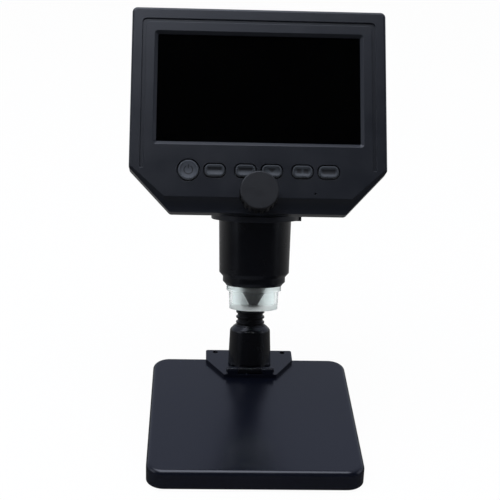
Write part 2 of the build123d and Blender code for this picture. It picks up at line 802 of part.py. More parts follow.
lamp_ring_bore_radius = lamp_ring_radius - lamp_ring_wall
with BuildPart() as lamp_ring:
    with BuildSketch(turning_plane(barrel_plane)):
        Polygon(
            (lamp_ring_bore_radius, lamp_ring_bottom),
            (lamp_ring_foot_radius, lamp_ring_bottom),
            (lamp_ring_foot_radius, barrel_bottom - lamp_ring_straight - lamp_ring_chamfer),
            (lamp_ring_radius, barrel_bottom - lamp_ring_straight),
            (lamp_ring_radius, barrel_bottom),
            (lamp_ring_bore_radius, barrel_bottom),
            align=None,
        )
    revolve(axis=barrel_axis)
lamp_ring.part.label = "lamp_ring"
export_step(lamp_ring.part, "parts/lamp_ring.step")

with BuildPart() as lamp_board:
    with BuildSketch(barrel_plane.offset(lamp_board_height)):
        Circle(lamp_ring_bore_radius - 2 * fit_gap)
        Circle(nose_radius + part_gap, mode=Mode.SUBTRACT)
    extrude(amount=lamp_board_thickness)
lamp_board.part.label = "lamp_board"
export_step(lamp_board.part, "parts/lamp_board.step")

with BuildPart() as lamps:
    with BuildSketch(barrel_plane.offset(lamp_board_height)):
        with PolarLocations(lamp_circle_radius, lamp_count):
            Rectangle(lamp_size, lamp_size)
    extrude(amount=-lamp_thickness)
lamps.part.label = "lamps"
export_step(lamps.part, "parts/lamps.step")

shade_flange_bottom = lamp_ring_bottom - shade_flange_height
shade_bottom = shade_flange_bottom - shade_body_height
shade_spigot_radius = lamp_ring_bore_radius - fit_gap
with BuildPart() as light_shade:
    with BuildSketch(turning_plane(barrel_plane)):
        Polygon(
            (shade_bottom_radius - shade_wall, shade_bottom),
            (shade_bottom_radius, shade_bottom),
            (shade_top_radius, shade_flange_bottom),
            (shade_flange_radius, shade_flange_bottom),
            (shade_flange_radius, lamp_ring_bottom),
            (shade_spigot_radius, lamp_ring_bottom),
            (shade_spigot_radius, lamp_ring_bottom + shade_spigot_height),
            (shade_top_radius - shade_wall, lamp_ring_bottom + shade_spigot_height),
            align=None,
        )
    revolve(axis=barrel_axis)
light_shade.part.label = "light_shade"
export_step(light_shade.part, "parts/light_shade.step")

nose_flange_bottom = barrel_bottom - nose_flange_height
with BuildPart() as lens_nose:
    with BuildSketch(turning_plane(barrel_plane)):
        Polygon(
            (nose_tip_radius - nose_wall, nose_tip_height),
            (nose_tip_radius, nose_tip_height),
            (nose_radius, lamp_ring_bottom),
            (nose_radius, nose_flange_bottom),
            (nose_flange_radius, nose_flange_bottom),
            (nose_flange_radius, barrel_bottom),
            (nose_radius - nose_wall, barrel_bottom),
            (nose_radius - nose_wall, lamp_ring_bottom),
            align=None,
        )
    revolve(axis=barrel_axis)
lens_nose.part.label = "lens_nose"
export_step(lens_nose.part, "parts/lens_nose.step")

with BuildPart() as sensor_board:
    with BuildSketch(barrel_plane.offset(barrel_top)):
        Rectangle(sensor_board_size, sensor_board_size)
    extrude(amount=sensor_board_thickness)
sensor_board.part.label = "sensor_board"
export_step(sensor_board.part, "parts/sensor_board.step")

with BuildPart() as image_sensor:
    with BuildSketch(barrel_plane.offset(barrel_top)):
        Rectangle(sensor_size, sensor_size)
    extrude(amount=-sensor_thickness)
image_sensor.part.label = "image_sensor"
export_step(image_sensor.part, "parts/image_sensor.step")

# ---------------------------------------------------------------------------------------------
# Head case
# ---------------------------------------------------------------------------------------------

case_corners = [
    (-case_half_width, case_shoulder),
    (-case_bottom_half_width, case_bottom),
    (case_bottom_half_width, case_bottom),
    (case_half_width, case_shoulder),
    (case_half_width, case_top),
    (-case_half_width, case_top),
]
boss_depth = case_depth - case_wall - part_gap
lens_width = window_width + 2 * window_lens_margin
lens_height = window_height + 2 * window_lens_margin
lens_back = window_lip_depth + window_lens_thickness
key_flange_front = -case_face - fit_gap * 4
key_flange_back = key_flange_front - key_flange_thickness
switch_front = -key_flange_back + key_plunger_length + key_travel + switch_press_gap
key_board_depth = switch_front + switch_stem_height + switch_body_height
key_board_width = 2 * (key_outer_u + key_board_end_room)
key_board_screw_u = (key_inner_u + key_middle_u) / 2
key_board_boss_length = key_board_depth - case_face
case_screw_u = case_half_width - case_screw_side_inset
case_screw_v = case_top - case_screw_top_inset
case_screw_low_u = case_bottom_half_width - case_screw_low_inset
case_screw_low_v = case_bottom + case_screw_low_lift
case_screw_places = [
    (side * u, v)
    for u, v in (
        (case_screw_u, case_screw_v),
        (case_screw_u, case_screw_middle_v),
        (case_screw_low_u, case_screw_low_v),
    )
    for side in (-1, 1)
]
power_flange_radius = power_key_radius + key_slot + key_flange / 2
panel_centre_v = key_row_v + power_flange_radius + 2 * part_gap + panel_height / 2


def case_profile(plane, inset=0.0):
    """The head's outline on a plane, moved in by inset."""
    with BuildSketch(plane) as profile:
        Polygon(*case_corners, align=None)
        corners = profile.vertices().sort_by(Axis.Y)
        fillet(corners[:4], radius=case_low_corner_radius)
        fillet(profile.vertices().sort_by(Axis.Y)[-2:], radius=case_top_corner_radius)
        if inset:
            offset(amount=-inset, mode=Mode.REPLACE)
    return profile.sketch


def cove_plane(start, end, lift):
    """A plane square to a line of the face, lifted in front of it, for a hollow border."""
    a = screen_plane.from_local_coords((*start, lift))
    b = screen_plane.from_local_coords((*end, lift))
    return Plane(origin=(a + b) / 2, z_dir=b - a)


def moved_out(shoulder, low_corner, distance):
    """The shoulder of a low corner, moved away from the case and square to the corner's edge."""
    run, rise = low_corner[0] - shoulder[0], low_corner[1] - shoulder[1]
    length = math.hypot(run, rise)
    side = math.copysign(distance / length, shoulder[0])
    return (shoulder[0] - side * rise, shoulder[1] + side * run)


def groove_edge(half_width, top):
    """One edge of the groove round the front: two round top corners, open at the case's shoulders."""
    with BuildSketch() as edge:
        with Locations((0, top)):
            Rectangle(2 * half_width, top - case_shoulder, align=(Align.CENTER, Align.MAX))
        fillet(edge.vertices().sort_by(Axis.Y)[-2:], radius=groove_corner_radius)
    return edge.sketch


def cove_radius(run, drop):
    """The radius of a hollow that drops by drop over run and ends level at the outline."""
    return (run**2 + drop**2) / (2 * drop)


with BuildPart() as front_shell:
    extrude(case_profile(screen_plane), amount=-case_parting)
    front_face = front_shell.faces().sort_by(screen_axis)[-1]
    fillet(front_face.outer_wire().edges(), radius=case_edge_radius)
    # Hollow borders along the bottom and the two low corners.
    low_cove = cove_radius(lip_run, lip_drop)
    with BuildSketch(cove_plane(case_corners[1], case_corners[2], low_cove - lip_drop)):
        Circle(low_cove)
    extrude(amount=case_half_width, both=True, mode=Mode.SUBTRACT)
    corner_cove = cove_radius(corner_lip_run, corner_lip_drop)
    for shoulder, low_corner in ((case_corners[0], case_corners[1]), (case_corners[3], case_corners[2])):
        start = moved_out(shoulder, low_corner, corner_lip_run - corner_lip_start_run)
        with BuildSketch(cove_plane(start, low_corner, corner_cove - corner_lip_drop)):
            Circle(corner_cove)
        extrude(amount=case_half_width / 2, both=True, mode=Mode.SUBTRACT)
    # Groove round the top and sides of the front.
    with BuildSketch(screen_plane):
        add(groove_edge(groove_u + groove_width / 2, groove_v + groove_width / 2))
        add(groove_edge(groove_u - groove_width / 2, groove_v - groove_width / 2), mode=Mode.SUBTRACT)
    extrude(amount=-groove_depth, mode=Mode.SUBTRACT)
    # Inside pocket, less deep in plan than the hollow border.
    pocket_plane = screen_plane.offset(-case_face)
    with BuildSketch(pocket_plane):
        add(pocket_plane.to_local_coords(case_profile(pocket_plane, case_wall)))
        with Locations((0, case_bottom + pocket_lift)):
            Rectangle(
                2 * case_half_width,
                pocket_lift,
                align=(Align.CENTER, Align.MAX),
                mode=Mode.SUBTRACT,
            )
    extrude(amount=-(case_parting - case_face), mode=Mode.SUBTRACT)
    # Window with a sloping lip, and the seat of its lens behind.
    with BuildSketch(screen_plane):
        with Locations((0, window_v)):
            Rectangle(window_width, window_height)
    extrude(amount=-case_face, mode=Mode.SUBTRACT)
    with BuildSketch(screen_plane):
        with Locations((0, window_v)):
            RectangleRounded(window_width + 2 * window_lip, window_height + 2 * window_lip, window_lip)
    with BuildSketch(screen_plane.offset(-window_lip_depth)):
        with Locations((0, window_v)):
            RectangleRounded(window_width, window_height, window_lip / 4)
    loft(mode=Mode.SUBTRACT)
    with BuildSketch(screen_plane.offset(-window_lip_depth)):
        with Locations((0, window_v)):
            Rectangle(lens_width + 2 * fit_gap, lens_height + 2 * fit_gap)
    extrude(amount=-(case_face - window_lip_depth), mode=Mode.SUBTRACT)
    # Openings for the keys, the focus bush and the sound hole.
    with BuildSketch(screen_plane):
        with Locations((power_key_u, key_row_v)):
            Circle(power_key_radius + key_slot)
        with Locations(*((u, key_row_v) for u in key_us)):
            RectangleRounded(key_width + 2 * key_slot, key_height + 2 * key_slot, key_corner_radius + key_slot)
        with Locations((0, focus_v)):
            Circle(focus_bush_radius + fit_gap)
        with Locations((sound_hole_u, case_bottom + sound_hole_lift)):
            Circle(sound_hole_radius)
    extrude(amount=-case_face, mode=Mode.SUBTRACT)
    with BuildSketch(screen_plane.offset(-case_face)):
        with Locations((0, focus_v)):
            Circle(focus_bush_flange_radius + fit_gap)
    extrude(amount=-(case_parting - case_face), mode=Mode.SUBTRACT)
    # Bosses for the case screws and for the key board.
    with BuildSketch(screen_plane.offset(-case_face)):
        with Locations(*case_screw_places):
            Circle(case_boss_radius)
    extrude(amount=-(boss_depth - case_face))
    with BuildSketch(screen_plane.offset(-case_face)):
        with Locations((-key_board_screw_u, key_row_v), (key_board_screw_u, key_row_v)):
            Circle(key_board_boss_radius)
    extrude(amount=-key_board_boss_length)
    with BuildSketch(screen_plane.offset(-case_screw_tip_depth)):
        with Locations(*case_screw_places):
            Circle(pilot_radius)
    extrude(amount=-(boss_depth - case_screw_tip_depth), mode=Mode.SUBTRACT)
    with BuildSketch(screen_plane.offset(-case_face)):
        with Locations((-key_board_screw_u, key_row_v), (key_board_screw_u, key_row_v)):
            Circle(key_board_screw_radius + fit_gap)
    extrude(amount=-key_board_boss_length, mode=Mode.SUBTRACT)
front_shell.part.label = "front_shell"
export_step(front_shell.part, "parts/front_shell.step")

neck_bottom = ring_top + part_gap
neck_roof_height = barrel_top + neck_head_room + neck_roof
neck_bore_radius = barrel_radius + fit_gap
standoff_length = case_depth - case_wall - board_depth - board_thickness
card_outer_u = case_half_width - case_wall
card_inner_u = card_outer_u - card_length
usb_depth = board_depth - usb_height / 2
card_depth = board_depth - card_height / 2
standoff_u = card_inner_u - screw_head_radius - part_gap
standoff_v = board_height / 2 - standoff_inset_v
standoffs = [(u, v) for u in (-standoff_u, standoff_u) for v in (-standoff_v, standoff_v)]


def rounded_hump():
    """The raised middle of the head's back, with rounded rear edges."""
    with BuildPart() as hump:
        with BuildSketch(screen_plane.offset(-case_depth + case_wall)):
            with Locations((0, hump_centre_v)):
                RectangleRounded(hump_width, hump_height, hump_corner_radius)
        extrude(amount=-(hump_depth - case_depth + case_wall))
        fillet(hump.faces().sort_by(screen_axis)[0].edges(), radius=hump_edge_radius)
    return hump.part


with BuildPart() as rear_shell:
    # Neck round the barrel, cut off inside the head.
    with BuildSketch(barrel_plane.offset(neck_bottom)):
        Circle(neck_radius)
    extrude(amount=neck_roof_height - neck_bottom)
    fillet(rear_shell.faces().sort_by(barrel_axis)[-1].edges(), radius=neck_edge_radius)
    with BuildSketch(screen_plane.offset(-case_depth + case_wall)):
        Rectangle(4 * case_half_width, 4 * case_half_width)
    extrude(amount=4 * neck_radius, mode=Mode.SUBTRACT)
    extrude(case_profile(screen_plane.offset(-case_parting)), amount=-(case_depth - case_parting))
    rim_edges = rear_shell.edges().filter_by(lambda edge: abs(
        screen_plane.to_local_coords(edge.center()).Z + case_depth) < fit_gap)
    outline = case_profile(screen_plane.offset(-case_depth)).edges()
    outline_centres = [edge.center() for edge in outline]
    fillet(
        [edge for edge in rim_edges if any((edge.center() - c).length < fit_gap for c in outline_centres)],
        radius=case_rear_edge_radius,
    )
    add(rounded_hump())
    # Inside: the rim, the hump and the barrel's bore.
    inner_plane = screen_plane.offset(-case_parting)
    extrude(
        case_profile(inner_plane, case_wall),
        amount=-(case_depth - case_wall - case_parting),
        mode=Mode.SUBTRACT,
    )
    with BuildSketch(screen_plane.offset(-case_depth + case_wall)):
        with Locations((0, hump_centre_v)):
            RectangleRounded(
                hump_width - 2 * case_wall, hump_height - 2 * case_wall, hump_corner_radius - case_wall
            )
    extrude(amount=-(hump_depth - case_depth), mode=Mode.SUBTRACT)
    with BuildSketch(barrel_plane.offset(neck_bottom)):
        Circle(neck_bore_radius)
    extrude(amount=neck_roof_height - neck_roof - neck_bottom, mode=Mode.SUBTRACT)
    with BuildSketch(screen_plane.offset(-case_depth + case_wall)):
        with Locations(*standoffs):
            Circle(standoff_radius)
    extrude(amount=standoff_length)
    with BuildSketch(screen_plane.offset(-case_depth + case_wall + standoff_length)):
        with Locations(*standoffs):
            Circle(pilot_radius)
    extrude(amount=-(standoff_length + case_wall / 2), mode=Mode.SUBTRACT)
    with BuildSketch(screen_plane.offset(-case_depth)):
        with Locations(*case_screw_places):
            Circle(pilot_radius + fit_gap)
    extrude(amount=case_wall, mode=Mode.SUBTRACT)
    with BuildSketch(screen_plane.offset(-case_depth)):
        with Locations(*case_screw_places):
            Circle(screw_head_radius + 2 * fit_gap)
    extrude(amount=screw_head_height, mode=Mode.SUBTRACT)
    with BuildSketch(focus_plane.offset(-case_depth + case_wall)):
        Circle(focus_shaft_radius + 2 * part_gap)
    extrude(amount=-(pinion_depth - pinion_width / 2 - case_depth + case_wall), mode=Mode.SUBTRACT)
    # Openings for the two ports in the right side.
    with Locations(
        screen_plane.location
        * Location((case_half_width, usb_v, -usb_depth)),
    ):
        Box(4 * case_wall, usb_width + 2 * port_gap, usb_height + 2 * port_gap, mode=Mode.SUBTRACT)
    with Locations(
        screen_plane.location
        * Location((case_half_width, card_v, -card_depth)),
    ):
        Box(4 * case_wall, card_width + 2 * port_gap, card_height + 2 * port_gap, mode=Mode.SUBTRACT)
rear_shell.part.label = "rear_shell"
export_step(rear_shell.part, "parts/rear_shell.step")

with BuildPart() as case_screws:
    with BuildSketch(screen_plane.offset(-case_depth + screw_head_height)):
        with Locations(*case_screw_places):
            Circle(screw_head_radius)
    extrude(amount=-screw_head_height + part_gap)
    with BuildSketch(screen_plane.offset(-case_depth + screw_head_height)):
        with Locations(*case_screw_places):
            Circle(screw_thread_radius)
    extrude(amount=case_depth - screw_head_height - case_screw_tip_depth - part_gap)
case_screws.part.label = "case_screws"
export_step(case_screws.part, "parts/case_screws.step")

with BuildPart() as window_lens:
    with BuildSketch(screen_plane.offset(-window_lip_depth)):
        with Locations((0, window_v)):
            Rectangle(lens_width, lens_height)
    extrude(amount=-window_lens_thickness)
window_lens.part.label = "window_lens"
export_step(window_lens.part, "parts/window_lens.step")

with BuildPart() as lcd_panel:
    with BuildSketch(screen_plane.offset(-panel_depth)):
        with Locations((0, panel_centre_v)):
            Rectangle(panel_width, panel_height)
    extrude(amount=-panel_thickness)
    chamfer(lcd_panel.edges().filter_by(Axis(screen_plane.origin, screen_plane.z_dir)), length=fit_gap * 10)
lcd_panel.part.label = "lcd_panel"
export_step(lcd_panel.part, "parts/lcd_panel.step")

# ---------------------------------------------------------------------------------------------
# Boards, battery and ports
# ---------------------------------------------------------------------------------------------

board_back = board_depth + board_thickness
board_half_width = case_half_width - board_side_room
board_tab_width = case_half_width - case_wall - part_gap - board_half_width
with BuildPart() as main_board:
    with BuildSketch(screen_plane.offset(-board_depth)):
        Rectangle(2 * board_half_width, board_height)
        with Locations((board_half_width, board_tab_v)):
            Rectangle(2 * board_tab_width, board_tab_height)
        with Locations(*standoffs):
            Circle(pilot_radius, mode=Mode.SUBTRACT)
    extrude(amount=-board_thickness)
main_board.part.label = "main_board"
export_step(main_board.part, "parts/main_board.step")

with BuildPart() as board_chips:
    for u, v, width, height in chip_places:
        with BuildSketch(screen_plane.offset(-board_back)):
            with Locations((u, v)):
                Rectangle(width, height)
        extrude(amount=-chip_thickness)
board_chips.part.label = "board_chips"
export_step(board_chips.part, "parts/board_chips.step")

with BuildPart() as board_screws:
    with BuildSketch(screen_plane.offset(-board_depth)):
        with Locations(*standoffs):
            Circle(screw_head_radius)
    extrude(amount=screw_head_height - part_gap)
    with BuildSketch(screen_plane.offset(-board_depth)):
        with Locations(*standoffs):
            Circle(screw_thread_radius)
    extrude(amount=-(board_thickness + standoff_length + case_wall / 2 - part_gap))
board_screws.part.label = "board_screws"
export_step(board_screws.part, "parts/board_screws.step")

key_places = [(power_key_u, key_row_v)] + [(u, key_row_v) for u in key_us]
key_board_back = key_board_depth + key_board_thickness
key_board_screws_u = (-key_board_screw_u, key_board_screw_u)
with BuildPart() as key_board:
    with BuildSketch(screen_plane.offset(-key_board_depth)):
        with Locations((0, key_row_v)):
            Rectangle(key_board_width, key_board_height)
        with Locations(*((u, key_row_v) for u in key_board_screws_u)):
            Circle(key_board_screw_radius + fit_gap, mode=Mode.SUBTRACT)
    extrude(amount=-key_board_thickness)
key_board.part.label = "key_board"
export_step(key_board.part, "parts/key_board.step")

with BuildPart() as key_switches:
    with BuildSketch(screen_plane.offset(-key_board_depth)):
        with Locations(*key_places):
            Rectangle(switch_size, switch_size)
    extrude(amount=switch_body_height)
    with BuildSketch(screen_plane.offset(-key_board_depth + switch_body_height)):
        with Locations(*key_places):
            Circle(switch_stem_radius)
    extrude(amount=switch_stem_height)
key_switches.part.label = "key_switches"
export_step(key_switches.part, "parts/key_switches.step")

with BuildPart() as key_board_screws:
    with BuildSketch(screen_plane.offset(-key_board_back)):
        with Locations(*((u, key_row_v) for u in key_board_screws_u)):
            Circle(key_board_screw_head_radius)
    extrude(amount=-screw_head_height / 2)
    with BuildSketch(screen_plane.offset(-key_board_back)):
        with Locations(*((u, key_row_v) for u in key_board_screws_u)):
            Circle(key_board_screw_radius)
    extrude(amount=key_board_thickness + key_board_boss_length - part_gap)
key_board_screws.part.label = "key_board_screws"
export_step(key_board_screws.part, "parts/key_board_screws.step")

battery_back = hump_depth - case_wall - fit_gap
with BuildPart() as battery:
    with BuildSketch(screen_plane.offset(-battery_back)):
        with Locations((0, battery_centre_v)):
            RectangleRounded(battery_width, battery_height, battery_thickness / 4)
    extrude(amount=battery_thickness)
    fillet(battery.faces().sort_by(screen_axis)[-1].edges(), radius=battery_thickness / 6)
battery.part.label = "battery"
export_step(battery.part, "parts/battery.step")


def port_location(u, v, depth):
    """A place in the head, for a port whose length runs along u."""
    return screen_plane.location * Location((u, v, -depth))


usb_outer_u = case_half_width - part_gap
usb_length = usb_outer_u - panel_width / 2 - port_gap
with BuildPart() as usb_port:
    with Locations(port_location(usb_outer_u - usb_length / 2, usb_v, usb_depth)):
        Box(usb_length, usb_width, usb_height)
    with Locations(port_location(usb_outer_u - usb_length / 2 + usb_wall, usb_v, usb_depth)):
        Box(usb_length, usb_width - 2 * usb_wall, usb_height - 2 * usb_wall, mode=Mode.SUBTRACT)
usb_port.part.label = "usb_port"
export_step(usb_port.part, "parts/usb_port.step")

with BuildPart() as card_slot:
    with Locations(port_location(card_outer_u - card_length / 2, card_v, card_depth)):
        Box(card_length, card_width, card_height)
    with Locations(port_location(card_outer_u - card_length / 2 + card_wall, card_v, card_depth)):
        Box(card_length, card_width - 2 * card_wall, card_height - 2 * card_wall, mode=Mode.SUBTRACT)
card_slot.part.label = "card_slot"
export_step(card_slot.part, "parts/card_slot.step")

# ---------------------------------------------------------------------------------------------
# Keys
# ---------------------------------------------------------------------------------------------


def key_dish(u, top, height):
    """The hollow in a key's top: a wide round-bottomed trough with the key's own outline, less its rim."""
    reach = height / 2 - key_rim
    radius = cove_radius(reach, key_dish_depth)
    trough_centre = screen_plane.from_local_coords((u, key_row_v, key_proud - key_dish_depth + radius))
    with BuildPart() as hollow:
        with BuildSketch(screen_plane.offset(key_proud - key_dish_depth)):
            with Locations((u, key_row_v)):
                add(top)
                offset(amount=-key_rim, mode=Mode.REPLACE)
        extrude(amount=key_dish_depth)
        with BuildSketch(Plane(origin=trough_centre, z_dir=screen_plane.x_dir)):
            Circle(radius)
        extrude(amount=key_width, both=True, mode=Mode.INTERSECT)
    return hollow.part


def key_part(u, cap, cap_height, flange):
    """One key: dished cap through the face, flange behind it, plunger over its switch."""
    with BuildPart() as key:
        with BuildSketch(screen_plane.offset(key_flange_front)):
            with Locations((u, key_row_v)):
                add(cap)
        extrude(amount=key_proud - key_flange_front)
        chamfer(key.faces().sort_by(screen_axis)[-1].edges(), length=key_bevel)
        add(key_dish(u, cap, cap_height), mode=Mode.SUBTRACT)
        with BuildSketch(screen_plane.offset(key_flange_back)):
            with Locations((u, key_row_v)):
                add(flange)
        extrude(amount=key_flange_thickness)
        with BuildSketch(screen_plane.offset(key_flange_back)):
            with Locations((u, key_row_v)):
                Circle(key_plunger_radius)
        extrude(amount=-key_plunger_length)
    return key.part


power_cap = Circle(power_key_radius)
power_flange = Circle(power_flange_radius)
key_cap = RectangleRounded(key_width, key_height, key_corner_radius)
key_flange_width = key_width + 2 * key_slot + key_flange
key_flange_height = key_height + 2 * key_slot + key_flange
key_flange_shape = RectangleRounded(key_flange_width, key_flange_height, key_corner_radius)

with BuildPart() as power_button:
    add(key_part(power_key_u, power_cap, 2 * power_key_radius, power_flange))
power_button.part.label = "power_button"
export_step(power_button.part, "parts/power_button.step")

for number, u in enumerate(key_us, start=1):
    with BuildPart() as key_button:
        add(key_part(u, key_cap, key_height, key_flange_shape))
    key_button.part.label = f"key_{number}"
    export_step(key_button.part, f"parts/key_{number}.step")

# ---------------------------------------------------------------------------------------------
# Focus drive
# ---------------------------------------------------------------------------------------------

pitch_radius = gear_module * pinion_teeth / 2
addendum = 0.85 * gear_module
dedendum = 1.15 * gear_module
tooth_pitch = math.pi * gear_module
focus_bush_back = case_face + focus_bush_flange_thickness + focus_bush_tail

with BuildPart() as focus_bush:
    with BuildSketch(focus_plane.offset(focus_bush_proud)):
        Circle(focus_bush_radius)
    extrude(amount=-(focus_bush_proud + focus_bush_back))
    with BuildSketch(focus_plane.offset(-case_face)):
        Circle(focus_bush_flange_radius)
    extrude(amount=-focus_bush_flange_thickness)
    with BuildSketch(focus_plane.offset(focus_bush_proud)):
        Circle(focus_shaft_radius + running_gap)
    extrude(amount=-(focus_bush_proud + focus_bush_back), mode=Mode.SUBTRACT)
focus_bush.part.label = "focus_bush"
export_step(focus_bush.part, "parts/focus_bush.step")

knob_front = focus_knob_back + focus_knob_length
with BuildPart() as focus_knob:
    with BuildSketch(focus_plane.offset(focus_knob_back)):
        Circle(focus_knob_radius)
    extrude(amount=focus_knob_length)
    fillet(focus_knob.faces().sort_by(screen_axis)[-1].edges(), radius=focus_knob_edge)
    with BuildSketch(focus_plane.offset(focus_knob_back)):
        with PolarLocations(focus_knob_radius, focus_knob_ridges):
            Rectangle(2 * focus_knob_groove_depth, focus_knob_groove_width)
    extrude(amount=focus_knob_length - focus_knob_rim, mode=Mode.SUBTRACT)
    with BuildSketch(focus_plane.offset(focus_knob_back)):
        Circle(focus_shaft_radius + fit_gap)
    extrude(amount=focus_shaft_in_knob, mode=Mode.SUBTRACT)
focus_knob.part.label = "focus_knob"
export_step(focus_knob.part, "parts/focus_knob.step")

pinion_front = pinion_depth - pinion_width / 2
pinion_back = pinion_depth + pinion_width / 2
shaft_front = focus_knob_back + focus_shaft_in_knob - fit_gap
with BuildPart() as focus_shaft:
    with BuildSketch(focus_plane.offset(shaft_front)):
        Circle(focus_shaft_radius)
    extrude(amount=-(shaft_front + pinion_back))
focus_shaft.part.label = "focus_shaft"
export_step(focus_shaft.part, "parts/focus_shaft.step")

clip_front = focus_bush_back + part_gap
with BuildPart() as shaft_clip:
    with BuildSketch(focus_plane.offset(-clip_front)):
        Circle(shaft_clip_radius)
        Circle(focus_shaft_radius + fit_gap, mode=Mode.SUBTRACT)
        with Locations((0, -shaft_clip_radius)):
            Rectangle(focus_shaft_radius, shaft_clip_radius, mode=Mode.SUBTRACT)
    extrude(amount=-shaft_clip_thickness)
shaft_clip.part.label = "shaft_clip"
export_step(shaft_clip.part, "parts/shaft_clip.step")


def on_circle(radius, angle):
    """A point on a circle round the pinion's centre, the angle in degrees."""
    return (radius * math.cos(math.radians(angle)), radius * math.sin(math.radians(angle)))


tooth_half = math.degrees((tooth_pitch / 4 - tooth_backlash / 2) / pitch_radius)
tip_half = tooth_half * 0.42
root_half = tooth_half * 1.35
root_radius = pitch_radius - dedendum
tip_radius = pitch_radius + addendum
tooth_turn = 180 / pinion_teeth
with BuildPart() as focus_pinion:
    with BuildSketch(focus_plane.offset(-pinion_front)):
        Circle(root_radius)
        for tooth in range(pinion_teeth):
            middle = (2 * tooth + 1) * tooth_turn
            Polygon(
                on_circle(root_radius / 2, middle - root_half),
                on_circle(root_radius, middle - root_half),
                on_circle(pitch_radius, middle - tooth_half),
                on_circle(tip_radius, middle - tip_half),
                on_circle(tip_radius, middle + tip_half),
                on_circle(pitch_radius, middle + tooth_half),
                on_circle(root_radius, middle + root_half),
                on_circle(root_radius / 2, middle + root_half),
                align=None,
            )
        Circle(focus_shaft_radius + fit_gap, mode=Mode.SUBTRACT)
    extrude(amount=-pinion_width)
focus_pinion.part.label = "focus_pinion"
export_step(focus_pinion.part, "parts/focus_pinion.step")

# The pinion's place along the barrel, and the rack beside it.
pinion_centre = barrel_plane.to_local_coords(focus_plane.from_local_coords((0, 0, -pinion_depth)))
rack_pitch = tooth_pitch / math.cos(math.radians(screen_tilt))
rack_teeth_each_way = math.ceil((focus_travel + 1.5 * rack_pitch) / rack_pitch)
rack_root_u = pitch_radius + dedendum
rack_half_reach = rack_pitch * (rack_teeth_each_way + 0.5)
rack_tooth_half = tooth_pitch / 4 - tooth_backlash / 2
flank = math.tan(math.radians(20))
carriage_radius = barrel_bore_radius - 2 * running_gap
carriage_top = carriage_bottom + carriage_height
carriage_web_bottom = carriage_bottom + (carriage_height - carriage_web) / 2

with BuildPart() as lens_carriage:
    with BuildSketch(turning_plane(barrel_plane)):
        Polygon(
            (carriage_radius - carriage_wall, carriage_bottom),
            (carriage_radius, carriage_bottom),
            (carriage_radius, carriage_top),
            (carriage_radius - carriage_wall, carriage_top),
            (carriage_radius - carriage_wall, carriage_web_bottom + carriage_web),
            (lens_tube_radius, carriage_web_bottom + carriage_web),
            (lens_tube_radius, carriage_top),
            (lens_bore_radius, carriage_top),
            (lens_bore_radius, lens_tube_bottom),
            (lens_tube_radius, lens_tube_bottom),
            (lens_tube_radius, carriage_web_bottom),
            (carriage_radius - carriage_wall, carriage_web_bottom),
            align=None,
        )
    revolve(axis=barrel_axis)
    with BuildSketch(barrel_plane.offset(carriage_web_bottom)):
        with Locations((rack_root_u + rack_bar_thickness / 2, pinion_centre.Y)):
            Rectangle(rack_bar_thickness, pinion_width)
    extrude(amount=pinion_centre.Z + rack_half_reach - carriage_web_bottom)
    for step in range(-rack_teeth_each_way, rack_teeth_each_way + 1):
        tooth_place = focus_plane.to_local_coords(
            barrel_plane.from_local_coords((0, pinion_centre.Y, pinion_centre.Z + step * rack_pitch))
        )
        with BuildSketch(focus_plane.offset(tooth_place.Z + pinion_width / 2)):
            with Locations((pitch_radius, tooth_place.Y)):
                Polygon(
                    (-addendum, -rack_tooth_half + addendum * flank),
                    (dedendum, -rack_tooth_half - dedendum * flank),
                    (dedendum + rack_bar_thickness / 4, -rack_tooth_half - dedendum * flank),
                    (dedendum + rack_bar_thickness / 4, rack_tooth_half + dedendum * flank),
                    (dedendum, rack_tooth_half + dedendum * flank),
                    (-addendum, rack_tooth_half - addendum * flank),
                    align=None,
                )
        extrude(amount=-pinion_width)
lens_carriage.part.label = "lens_carriage"
export_step(lens_carriage.part, "parts/lens_carriage.step")

with BuildPart() as objective_lenses:
    with BuildSketch(barrel_plane.offset(lens_tube_bottom + lens_thickness)):
        Circle(lens_bore_radius - fit_gap)
    extrude(amount=lens_thickness)
    with BuildSketch(barrel_plane.offset(carriage_top - 2 * lens_thickness)):
        Circle(lens_bore_radius - fit_gap)
    extrude(amount=lens_thickness)
objective_lenses.part.label = "objective_lenses"
export_step(objective_lenses.part, "parts/objective_lenses.step")

focus_ratio = pitch_radius / math.cos(math.radians(screen_tilt))
print("focus carriage mm per radian of the knob", round(focus_ratio, 5))
print("hinge axis", 0, round(hinge_y, 4), round(hinge_z, 4))
print("column origin", column_plane.origin, "direction", column_plane.z_dir)
print("barrel origin", barrel_plane.origin)
print("screen origin", screen_plane.origin, "normal", screen_plane.z_dir)
print("focus origin", focus_plane.origin)
print("clamp origin", clamp_plane.origin, "direction", clamp_plane.z_dir)
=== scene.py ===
"""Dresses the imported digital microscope: satin and polished black mouldings, a smoked window, a milky
lamp shade, printed keys and cross-head screws. Numbers for the object and the camera are in
millimetres, turned to metres by MM. Those for the floor and the softboxes are in metres."""

import json
import math

import bmesh
import bpy
from mathutils import Matrix, Vector


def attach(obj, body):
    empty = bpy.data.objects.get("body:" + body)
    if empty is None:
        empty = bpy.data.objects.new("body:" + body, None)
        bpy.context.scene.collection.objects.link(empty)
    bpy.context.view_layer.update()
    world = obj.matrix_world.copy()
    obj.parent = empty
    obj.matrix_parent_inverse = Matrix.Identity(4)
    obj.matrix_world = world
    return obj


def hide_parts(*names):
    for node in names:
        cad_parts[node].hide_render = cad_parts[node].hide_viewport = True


MM = 0.001

